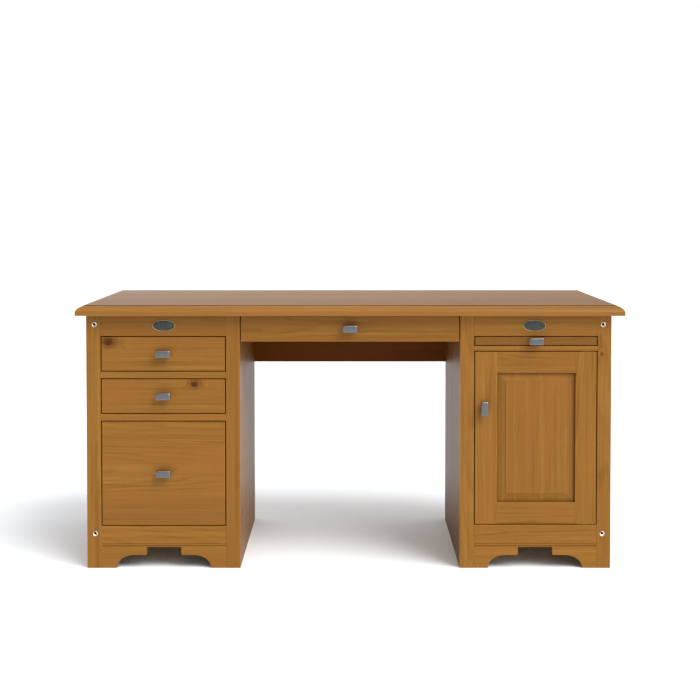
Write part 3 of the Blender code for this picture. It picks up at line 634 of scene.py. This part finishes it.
BARE_BOARDS |= dict.fromkeys(("left_centre_runner", "right_centre_runner"), "Y")
BARE_BOARDS |= {f"{drawer}_box": "Y" for drawer in DRAWERS}
BARE_BOARDS |= {f"{drawer}_bottom": "X" for drawer in DRAWERS}
BARE_LOOKS = {"Stave": 0.11, "Knots": 0.12}
SIDE_KNOTS = 0.20
BOARD_SEEDS = 3.7           # the step from one board's seed to the next
BARE_SEED = 100
BARE_SEEDS = 2.9
NO_STAIN_AND_GAP_SHADE = ("door_panel", "modesty_panel")
KNOTS = {
    # node: place from the board's centre along X and Z, and radius
    "upper_drawer_front": (-0.160, 0.036, 0.0092),
    "middle_drawer_front": (0.092, 0.036, 0.0070),
    "right_outer_stile": (-0.008, 0.259, 0.0024),
}


def paint(node, material):
    """Give a carried-over CAD node one material on all its faces."""
    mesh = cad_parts[node].data
    mesh.materials.clear()
    mesh.materials.append(material)


def round_edges(piece, name, width, sharpest):
    """Fine rounded arrises where faces meet at more than an angle."""
    rounding = piece.modifiers.new(name, "BEVEL")
    rounding.width = width
    rounding.segments = 2
    rounding.limit_method = "ANGLE"
    rounding.angle_limit = math.radians(sharpest)
    return rounding


def finish_board(node, look, width, *settings, **looks):
    """Pine and fine arrises for a carried-over board."""
    low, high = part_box(node)
    paint(node, pine_material(node, low, high, look, *settings, **looks))
    round_edges(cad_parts[node], "arris", width, 50).use_clamp_overlap = True


def finish_boards():
    for number, (node, (grain, stave, pith, tone, redness)) in enumerate(BOARDS.items()):
        low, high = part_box(node)
        knot = None
        if node in KNOTS:
            x, z, radius = KNOTS[node]
            knot = ((low + high) / 2 + Vector((x, 0.0, z)), radius)
        looks = {"Stave": stave, "Pith": pith, "Tone": tone, "Redness": redness}
        lacquer = FRONT_LACQUER
        if node.endswith("_side") or node == "modesty_panel":
            looks["Knots"] = SIDE_KNOTS
            lacquer = SIDE_LACQUER
        if node == "modesty_panel":
            looks.update(SHADED)
        # thin front boards get pooled stain and painted shade in their gaps
        stain_and_gap_shade = high.y - low.y < FRONT_BOARD and node not in NO_STAIN_AND_GAP_SHADE
        finish_board(node, STAINED, ARRIS, grain, BOARD_SEEDS * number, lacquer, knot, stain_and_gap_shade, **looks)
    for number, (node, grain) in enumerate(BARE_BOARDS.items()):
        seed = BARE_SEED + BARE_SEEDS * number
        finish_board(node, BARE, BARE_ARRIS, grain, seed, 0.0, **BARE_LOOKS)


def finish_hinges():
    for level in ("upper", "lower"):
        for leaf in ("frame", "door"):
            node = f"{level}_hinge_{leaf}_leaf"
            paint(node, metal_material(node, BRONZE, BRONZE_WORN, 0.45, "X"))


# ------------------------------ the moulded top
BAND_HEIGHT = 0.012
MOULDING_INSET = 0.0225
MOULDING_STEP = 0.0015
MOULDING_RADIUS = 0.0287
TOP_ARRIS = 0.0009
STEP_QUIRK = 0.0011         # the scratched groove at the foot of the step
STEP_ROWS = (-8, -4)        # the rows of faces in the step, counted from the last ring
SMOOTH_TOP = 28             # degrees
TOP_SEED = 43.0
TOP_LOOKS = {"Stave": 0.094, "Pith": 0.07, "Knots": 0.10}
TOP_LAYERS = {
    # material: lacquer, its roughness, which is rubbed down on top, and further changes
    # the top face's lower tone is painted shade against the stronger light on it; the step's low tone and
    # pooled stain are dirt and painted shade in its groove
    "top_surface": (0.40, 0.42, {"Contrast": 1.35, "Tone": 0.76}),
    "top_moulding": (0.35, SHEEN, {"Tone": 1.12}),
    "top_step": (0.10, SHEEN, {"Tone": 0.55, "Behind": 0.002}),
}


def moulding_profile(thickness):
    """Inset from the edge and height over the underside: band, thumbnail arc, groove, step."""
    rise = thickness - MOULDING_STEP - BAND_HEIGHT
    chord = math.hypot(MOULDING_INSET, rise)
    slope = math.atan2(rise, MOULDING_INSET)
    half = math.asin(chord / 2 / MOULDING_RADIUS)
    turn = slope + half
    centre = (MOULDING_RADIUS * math.sin(turn), BAND_HEIGHT - MOULDING_RADIUS * math.cos(turn))
    start = 90 + math.degrees(turn)
    end = 90 + math.degrees(slope - half)
    thumb = arc_points(centre, (MOULDING_RADIUS, MOULDING_RADIUS), start, end, 18)[:-1]
    arris = (TOP_ARRIS, TOP_ARRIS)
    lower = arc_points(arris, arris, 270, 180, 4)
    small = TOP_ARRIS * 0.6
    step = arc_points((MOULDING_INSET + small, thickness - small), (small, small), 180, 90, 3)
    floor = thickness - MOULDING_STEP - STEP_QUIRK
    quirk = [
        (MOULDING_INSET - STEP_QUIRK, floor + STEP_QUIRK),
        (MOULDING_INSET - STEP_QUIRK * 0.6, floor),
        (MOULDING_INSET, floor),
    ]
    return lower + thumb + quirk + step


def make_top():
    """The moulded top: material 0 is its surface, 1 the moulding and 2 the step with its groove, darkened
    by dirt and painted shade.
    """
    low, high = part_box("desk_top")
    shape = bmesh.new()
    rows = []
    for inset, height in moulding_profile(high.z - low.z):
        left, right, front = low.x + inset, high.x - inset, low.y + inset
        z = low.z + height
        corners = [(left, high.y, z), (left, front, z), (right, front, z), (right, high.y, z)]
        rows.append([shape.verts.new(corner) for corner in corners])
    for number, (lower, upper) in enumerate(zip(rows, rows[1:])):
        in_step = STEP_ROWS[0] <= number - len(rows) < STEP_ROWS[1]
        for i in range(3):
            face = shape.faces.new((lower[i], lower[i + 1], upper[i + 1], upper[i]))
            face.material_index = 2 if in_step else 1
    shape.faces.new(rows[0][::-1]).material_index = 1
    shape.faces.new(rows[-1])
    left_end = [row[0] for row in rows]
    right_end = [row[3] for row in rows]
    shape.faces.new(left_end + right_end[::-1]).material_index = 1
    mesh = mesh_from("moulded_top", shape, SMOOTH_TOP)
    layers = []
    for name, (lacquer, sheen, changes) in TOP_LAYERS.items():
        looks = {**TOP_LOOKS, **changes}
        layers.append(pine_material(name, low, high, STAINED, "X", TOP_SEED, lacquer, sheen=sheen, **looks))
    add_piece("moulded_top", mesh, "carcass", layers[0], ["desk_top"])
    for layer in layers[1:]:
        mesh.materials.append(layer)


# ------------------------------ plinths
ARCH_WIDTH = 0.277
ARCH_FOOT = (0.051, 0.038)
ARCH_CENTRE_WIDTH = 0.101
ARCH_HEIGHT = 0.062
ARCH_NOSE = 0.004
ARCH_ROUNDING = 0.0008
BEAD_HEIGHT = 0.0058
BEAD_FLATNESS = 0.55        # how far its nose stands out, as a share of its radius
QUIRK = 0.0016
TOP_QUIRK = 0.0010


def plinth_outline(low, high):
    """Front view of the plinth: two feet, quarter-ellipse shoulders and a raised centre."""
    middle = (low.x + high.x) / 2
    flat = ARCH_WIDTH / 2 - ARCH_FOOT[0]
    centre = ARCH_CENTRE_WIDTH / 2
    shoulder = arc_points((-flat, 0), ARCH_FOOT, 180, 90, 20)
    nose_centre = (-centre - ARCH_NOSE, ARCH_FOOT[1] + ARCH_NOSE)
    nose = arc_points(nose_centre, (ARCH_NOSE, ARCH_NOSE), -90, 0, 5)
    left = shoulder + nose + [(-centre, ARCH_HEIGHT)]
    right = [(-x, z) for x, z in reversed(left)]
    top = high.z - BEAD_HEIGHT - QUIRK
    arch = [(middle + x, low.z + z) for x, z in left + right]
    return [(low.x, low.z), *arch, (high.x, low.z), (high.x, top), (low.x, top)]


def bead_profile(low, high):
    """Side view of the bead: Y and Z from the quirk under it, round its nose, to the top edge."""
    radius = (BEAD_HEIGHT - TOP_QUIRK) / 2
    bottom = high.z - BEAD_HEIGHT
    out = radius * BEAD_FLATNESS
    nose = arc_points((low.y + out, bottom + radius), (out, radius), 270, 90, 10)
    floor = low.y + QUIRK
    under = [(high.y, bottom - QUIRK), (floor, bottom - QUIRK), (floor, bottom)]
    over = [(floor, bottom + 2 * radius), (floor, high.z), (high.y, high.z)]
    return under + nose[1:-1] + over


def make_plinth(side):
    """A board with an arch cut out of its foot, and a bead along its top."""
    name = f"{side}_plinth"
    low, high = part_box(name)
    # the plinth's higher tone is painted light on the lower front; the bead's quirks get pooled stain and
    # painted shade
    looks = {"Pith": 0.05, "Tone": 1.08}
    seed = 57.0 + len(side)
    material = pine_material(name, low, high, STAINED, "X", seed, FRONT_LACQUER, stain_and_gap_shade=True, **looks)
    outline = plinth_outline(low, high)
    faces = [[(x, y, z) for x, z in outline] for y in (low.y, high.y)]
    board = loft(f"{name}_board", faces, 30)
    piece = add_piece(f"{name}_board", board, "carcass", material, [name])
    round_edges(piece, "arch_arris", ARCH_ROUNDING, 60)

    profile = bead_profile(low, high)
    ends = [[(x, y, z) for y, z in profile] for x in (low.x, high.x)]
    add_piece(f"{name}_bead", loft(f"{name}_bead", ends, 40), "carcass", material)


# ------------------------------ pulls
def rounded_rectangle(width, height, radius, steps=4):
    """Points of a rectangle with round corners, anticlockwise from its right side."""
    points = []
    for turn, (sx, sy) in enumerate(((1, 1), (-1, 1), (-1, -1), (1, -1))):
        centre = (sx * (width / 2 - radius), sy * (height / 2 - radius))
        points += arc_points(centre, (radius, radius), 90 * turn, 90 * turn + 90, steps)
    return points


PULL_CORNER = 0.16          # its corners' radius, as a share of its height
PULL_SECTIONS = [
    # share of the face's width and height, and place from the wood to the tip
    (0.70, 0.70, 0.00), (0.70, 0.70, 0.035), (0.66, 0.64, 0.075), (0.61, 0.56, 0.10), (0.60, 0.54, 0.30),
    (0.62, 0.58, 0.38), (0.72, 0.70, 0.44), (0.88, 0.86, 0.48), (0.965, 0.95, 0.50), (0.99, 0.985, 0.52),
    (1.00, 1.00, 0.55), (1.00, 1.00, 0.86), (0.993, 0.985, 0.90), (0.975, 0.95, 0.935), (0.88, 0.78, 0.985),
    (0.86, 0.74, 0.990), (0.66, 0.54, 0.996), (0.40, 0.30, 0.999), (0.16, 0.12, 1.0),
]


def make_pull(node, body):
    low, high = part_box(node)
    size = high - low
    centre = (low + high) / 2
    upright = size.z > size.x
    rings = []
    for across, up, out in PULL_SECTIONS:
        width, height = (size.z, size.x) if upright else (size.x, size.z)
        section = rounded_rectangle(width * across, height * up, PULL_CORNER * height * up)
        y = high.y - out * size.y
        turned = [(-b, a) if upright else (a, b) for a, b in section]
        rings.append([(centre.x + a, y, centre.z + b) for a, b in turned])
    brushed = "Z" if upright else "X"
    material = metal_material(node, PEWTER, PEWTER_WORN, 0.36, brushed, (low, high))
    add_piece(f"{node}_knob", loft(f"{node}_knob", rings, 40), body, material, [node])


# ------------------------------ plaques
PLAQUE_STEPS = 72
PLAQUE_RIM = [
    # inset from the edge, and height as a share of the thickness
    (0.0, 0.0), (0.0, 0.45), (0.0003, 0.72), (0.0008, 0.93), (0.0013, 1.0), (0.0018, 0.93),
    (0.0022, 0.70), (0.0023, 0.30), (0.0023, 0.0),
]
PLAQUE_FIELD = [(0.0024, 0.0), (0.0024, 0.30), (0.0031, 0.38)]
DOME_SHARES = (0.85, 0.7, 0.5, 0.3, 0.12)
DOME_FOOT = 0.40
DOME_RISE = 0.35


def make_plaque(side):
    """An oval badge with a rounded brass rim round a dark domed field."""
    node = f"{side}_plaque"
    low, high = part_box(node)
    centre = (low + high) / 2
    half = (high - low) / 2
    thickness = high.y - low.y

    def ring(radii, height):
        points = circle_points((centre.x, centre.z), radii, PLAQUE_STEPS)
        return [(x, high.y - height * thickness, z) for x, z in points]

    rim = [ring((half.x - inset, half.z - inset), height) for inset, height in PLAQUE_RIM]
    brass = metal_material(f"{side}_rim", BRASS, BRASS_WORN, 0.34)
    mesh = loft(f"{node}_rim", rim, 50, ring_shaped=True)
    add_piece(f"{node}_rim", mesh, "carcass", brass, [node])

    field = [ring((half.x - inset, half.z - inset), height) for inset, height in PLAQUE_FIELD]
    for share in DOME_SHARES:
        height = DOME_FOOT + DOME_RISE * (1 - share * share)
        field.append(ring((half.x * share, half.z * share), height))
    dark = metal_material(f"{side}_field", PATINA, PEWTER, 0.42)
    add_piece(f"{node}_field", loft(f"{node}_field", field, 50), "carcass", dark)


# ------------------------------ bolts
BOLT_STEPS = 48
BOLT_SEAT = 0.0015          # back of the head, behind the stile's face
BOLT_SOCKET = 0.0060
BOLT_HEXAGON = 0.36         # radius of the socket; these three are shares of the head's radius
BOLT_SHANK = 0.41
BOLT_TIP = 0.34
BOLT_HEAD = [
    # share of the radius, and depth behind the stile's face
    (1.00, 0.0014), (1.00, -0.0004), (0.97, -0.0009), (0.91, -0.00115), (0.86, -0.0012),
    (0.81, -0.0010), (0.68, -0.0002), (0.56, 0.0004), (0.46, 0.0007),
]
SOCKET_SHADE_PLACE = (-0.10, 0.0, 0.14)        # centre of the painted shade in the head, from the bolt's centre, in radii
SOCKET_SHADE_REACH = (0.68, 0.52)


def hexagon_radius(radius, angle):
    """Distance from the centre to a hexagon's edge at an angle."""
    from_flat = (angle + math.pi / 6) % (math.pi / 3) - math.pi / 6
    return radius * math.cos(math.pi / 6) / math.cos(from_flat)


def make_bolt(side, level):
    """A bolt with a round head: a raised rim, a dished face and a deep hexagon socket."""
    node = f"{side}_{level}_bolt"
    low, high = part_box(node)
    centre = (low + high) / 2
    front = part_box(f"{side}_outer_stile")[0].y
    radius = (high.x - low.x) / 2

    def ring(share, depth):
        points = circle_points((centre.x, centre.z), (radius * share, radius * share), BOLT_STEPS)
        return [(x, front + depth, z) for x, z in points]

    tip = high.y - front
    rings = [ring(BOLT_TIP, tip), ring(BOLT_SHANK, tip - 0.0005), ring(BOLT_SHANK, BOLT_SEAT)]
    rings.append(ring(0.99, BOLT_SEAT))
    rings += [ring(share, depth) for share, depth in BOLT_HEAD]
    for depth in (BOLT_HEAD[-1][1] + 0.0001, BOLT_SOCKET):
        points = []
        for i in range(BOLT_STEPS):
            angle = 2 * math.pi * i / BOLT_STEPS
            reach = hexagon_radius(radius * BOLT_HEXAGON, angle)
            x = centre.x + reach * math.cos(angle)
            points.append((x, front + depth, centre.z + reach * math.sin(angle)))
        rings.append(points)

    # painted shade over the upper part of the dished head and its socket
    def paint_socket_shade(tree, place, tint):
        shade_centre = centre + Vector(SOCKET_SHADE_PLACE) * radius
        x, _, z = separate(tree, vector_calc(tree, "SUBTRACT", place, shade_centre))
        reach = length_of(tree, x, z)
        near = smooth(tree, reach, radius * SOCKET_SHADE_REACH[0], radius * SOCKET_SHADE_REACH[1])
        return blend(tree, near, tint, SOCKET_SHADE)

    material = metal_material(node, NICKEL, CREAM_METAL, 0.24, dark=paint_socket_shade)
    mesh = loft(f"{node}_head", rings, 35)
    add_piece(f"{node}_head", mesh, "carcass", material, [node])


# ------------------------------ fittings behind the front
GUIDE_GAP = 0.001           # between a drawer or the slide and its guides
GUIDE_HEIGHT = 0.020
GUIDE_BACK = 0.262
SOFT_EDGE = 0.0015
STOP_SIZE = (0.030, 0.022, 0.016)
STOP_GAP = 0.0006
STOP_SPREAD = 0.110
LEDGE_WIDTH = 0.022         # under the writing slide
LEDGE_GAP = 0.0004
LEDGE_EDGE = 0.0006
SHOULDER_EDGE = 0.002
BACK_BOARDS = 5
BACK_LOOKS = {"Tone": 1.02, "Knots": 0.22}
BACK_SCREWS = (0, 1, 2, 3, 4), (0, 4), (0, 1, 2, 3, 4)     # rows of screws in each column
V_GROOVE = 0.0016
TURNED_STEPS = 28
SCREW_RADIUS = 0.0034
SCREW_RISE = 0.0009
SCREW_MARGIN = 0.010
SCREW_SECTIONS = (
    # shares of the rise and of the radius
    (0.0, 1.0), (0.35, 1.0), (0.80, 0.86), (1.0, 0.60), (1.0, 0.46), (0.1, 0.30), (0.1, 0.08),
)
PULL_SCREW_RADIUS = 0.0038
PULL_SCREW_SPREAD = 0.008
PULL_BOARDS = {drawer: f"{drawer}_front" for drawer in DRAWERS}
PULL_BOARDS["cupboard_door"] = "door_left_stile"
PIN_SPREAD = 0.190
PIN_DROP = 0.0054           # the pins' axis under the shelf
PIN_SECTIONS = (
    # place from the wall, and radius
    (0.0, 0.005096), (0.0012, 0.005096), (0.0016, 0.003136), (0.0110, 0.003136), (0.0124, 0.002352),
)
CATCH_PLACE = 0.030         # from the door's free edge
# Corners from the back of the door's stile, and from the divider's underside or the door's top.
CATCH_CASE = ((-0.020, 0.0008, -0.012), (0.020, 0.0160, 0.0))
CATCH_PLATE = ((-0.016, 0.0, -0.0085), (0.016, 0.0006, -0.0005))


def other_axes(axis):
    """The number of an axis, and the numbers of the two others."""
    along = "XYZ".index(axis)
    return along, *(i for i in range(3) if i != along)


def bar_mesh(name, low, high, grain, radius):
    """A length of wood or metal with all its arrises rounded, between two corners."""
    along, first, second = other_axes(grain)
    size = high - low
    centre = (low + high) / 2
    rings = []
    for place, trim in ((0.0, radius), (radius, 0.0), (size[along] - radius, 0.0), (size[along], radius)):
        ring = []
        for a, b in rounded_rectangle(size[first] - 2 * trim, size[second] - 2 * trim, radius):
            point = centre.copy()
            point[first] += a
            point[second] += b
            point[along] = low[along] + place
            ring.append(point)
        rings.append(ring)
    return loft(name, rings, 40)


def add_bar(name, low, high, grain, seed):
    material = pine_material(name, low, high, BARE, grain, seed, 0.0)
    add_piece(name, bar_mesh(name, low, high, grain, SOFT_EDGE), "carcass", material)


def turned_mesh(name, centre, axis, sections):
    """A round piece: each section is a place along the axis from the centre, and a radius."""
    along, first, second = other_axes(axis)
    rings = []
    for place, radius in sections:
        ring = []
        for a, b in circle_points((0.0, 0.0), (radius, radius), TURNED_STEPS):
            point = Vector(centre)
            point[first] += a
            point[second] += b
            point[along] += place
            ring.append(point)
        rings.append(ring)
    return loft(name, rings, 35)


def make_drawer_guides():
    """Strips beside the pedestal drawers and two stops behind each, on the board they run on."""
    left_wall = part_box("left_outer_side")[1].x
    right_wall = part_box("left_inner_side")[0].x
    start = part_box("left_outer_stile")[1].y + GUIDE_GAP
    floors = {"upper": "left_upper_divider", "middle": "left_lower_divider", "file": "left_bottom_board"}
    for number, (drawer, floor) in enumerate(floors.items()):
        low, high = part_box(f"{drawer}_drawer_box")
        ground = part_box(floor)[1].z
        begin = max(start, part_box(floor)[0].y + GUIDE_GAP)
        left = ("left", left_wall, low.x - GUIDE_GAP, 201.0)
        right = ("right", high.x + GUIDE_GAP, right_wall, 211.0)
        for side, near, far, seed in (left, right):
            corner = Vector((near, begin, ground))
            opposite = Vector((far, GUIDE_BACK, ground + GUIDE_HEIGHT))
            add_bar(f"{drawer}_guide_{side}", corner, opposite, "Y", seed + number)
        middle = (low.x + high.x) / 2
        for side, sign in (("left", -1), ("right", 1)):
            x = middle + sign * STOP_SPREAD - STOP_SIZE[0] / 2
            corner = Vector((x, high.y + STOP_GAP, ground))
            add_bar(f"{drawer}_stop_{side}", corner, corner + Vector(STOP_SIZE), "X", 221.0 + number)


def make_slide_guides():
    """Rebated strips: a shoulder beside the writing slide and a ledge under it."""
    low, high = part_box("writing_slide_board")
    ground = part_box("slide_divider")[1].z
    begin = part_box("right_inner_stile")[1].y + GUIDE_GAP
    ledge = low.z - LEDGE_GAP
    top = high.z - SHOULDER_EDGE
    left = (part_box("right_inner_side")[1].x, low.x - GUIDE_GAP, 1)
    right = (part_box("right_outer_side")[0].x, high.x + GUIDE_GAP, -1)
    for side, (wall, edge, inward) in (("left", left), ("right", right)):
        tip = edge + inward * LEDGE_WIDTH
        outline = [(wall, ground), (tip, ground), (tip, ledge - LEDGE_EDGE)]
        outline += [(tip - inward * LEDGE_EDGE, ledge), (edge, ledge), (edge, top - SHOULDER_EDGE)]
        outline += [(edge - inward * SHOULDER_EDGE, top), (wall, top)]
        rings = [[(x, y, z) for x, z in outline] for y in (begin, GUIDE_BACK)]
        corner = Vector((min(wall, tip), begin, ground))
        opposite = Vector((max(wall, tip), GUIDE_BACK, top))
        name = f"slide_guide_{side}"
        material = pine_material(name, corner, opposite, BARE, "Y", 231.0 + inward, 0.0)
        add_piece(name, loft(name, rings, 40), "carcass", material)


def make_back_boards(side):
    """The pedestal's back as upright boards with V grooves between them, and its screws."""
    node = f"{side}_back_panel"
    low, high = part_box(node)
    width = (high.x - low.x) / BACK_BOARDS
    outline = [(low.x, low.y), (high.x, low.y), (high.x, high.y)]
    for i in range(BACK_BOARDS - 1, 0, -1):
        x = low.x + i * width
        outline += [(x + V_GROOVE, high.y), (x, high.y - V_GROOVE), (x - V_GROOVE, high.y)]
    outline.append((low.x, high.y))
    rings = [[(x, y, z) for x, y in outline] for z in (low.z, high.z)]
    looks = {"Stave": width, **BACK_LOOKS}
    material = pine_material(node, low, high, STAINED, "Z", 61.0 + len(side), SIDE_LACQUER, **looks)
    name = f"{side}_back_boards"
    add_piece(name, loft(name, rings, 20), "carcass", material, [node])
    zinc = metal_material(f"{side}_screws", ZINC, ZINC_DULL, 0.38)
    for column, rows in enumerate(BACK_SCREWS):
        x = low.x + SCREW_MARGIN + (high.x - low.x - 2 * SCREW_MARGIN) * column / 2
        if column == 1:
            x += width / 2
        for row in rows:
            z = low.z + SCREW_MARGIN + (high.z - low.z - 2 * SCREW_MARGIN) * row / 4
            add_screw(f"{side}_back_screw_{column}_{row}", (x, high.y, z), "carcass", zinc, SCREW_RADIUS)


def add_screw(name, centre, body, material, radius):
    """A raised screw head with a recess, on a face that looks along Y."""
    sections = [(SCREW_RISE * rise, radius * share) for rise, share in SCREW_SECTIONS]
    add_piece(name, turned_mesh(name, centre, "Y", sections), body, material)


def make_pull_screws():
    """The heads of the screws that hold the pulls, inside the drawers and the door."""
    zinc = metal_material("pull_screws", ZINC, ZINC_DULL, 0.38)
    for body, board in PULL_BOARDS.items():
        low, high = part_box(f"{body}_pull")
        middle = (low + high) / 2
        middle.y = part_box(board)[1].y
        upright = high.z - low.z > high.x - low.x
        spread = Vector((0.0, 0.0, PULL_SCREW_SPREAD) if upright else (PULL_SCREW_SPREAD, 0.0, 0.0))
        for label, place in (("a", middle - spread), ("b", middle + spread)):
            add_screw(f"{body}_pull_screw_{label}", place, body, zinc, PULL_SCREW_RADIUS)


def make_shelf_pins():
    """Flanged pins in the cupboard's sides, under the shelf."""
    low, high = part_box("cupboard_shelf")
    middle = (low.y + high.y) / 2
    zinc = metal_material("shelf_pins", ZINC, ZINC_DULL, 0.34)
    left = ("left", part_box("right_inner_side")[1].x, 1)
    right = ("right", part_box("right_outer_side")[0].x, -1)
    for side, wall, inward in (left, right):
        sections = [(inward * place, radius) for place, radius in PIN_SECTIONS]
        for end, sign in (("front", -1), ("back", 1)):
            centre = Vector((wall, middle + sign * PIN_SPREAD, low.z - PIN_DROP))
            name = f"shelf_pin_{side}_{end}"
            add_piece(name, turned_mesh(name, centre, "X", sections), "carcass", zinc)


def make_catch():
    """A magnet catch under the slide's divider, and its plate on the door."""
    low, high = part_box("door_left_stile")
    x = low.x + CATCH_PLACE
    steel = metal_material("catch", ZINC_DULL, PEWTER, 0.50)
    under = Vector((x, high.y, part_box("slide_divider")[0].z))
    top_edge = Vector((x, high.y, high.z))
    pieces = (
        ("door_catch_case", "carcass", under, CATCH_CASE, 0.0012),
        ("door_catch_plate", "cupboard_door", top_edge, CATCH_PLATE, 0.00025),
    )
    for name, body, place, (near, far), radius in pieces:
        mesh = bar_mesh(name, place + Vector(near), place + Vector(far), "X", radius)
        add_piece(name, mesh, body, steel)


# ------------------------------ the desk
make_camera()
make_sky()
make_key()
make_floor()
finish_boards()
finish_hinges()
make_top()
for pedestal in ("left", "right"):
    make_plinth(pedestal)
    make_plaque(pedestal)
    for height in ("lower", "upper"):
        make_bolt(pedestal, height)
    make_back_boards(pedestal)
for moving in (*DRAWERS, "writing_slide", "cupboard_door"):
    make_pull(f"{moving}_pull", moving)
make_drawer_guides()
make_slide_guides()
make_pull_screws()
make_shelf_pins()
make_catch()
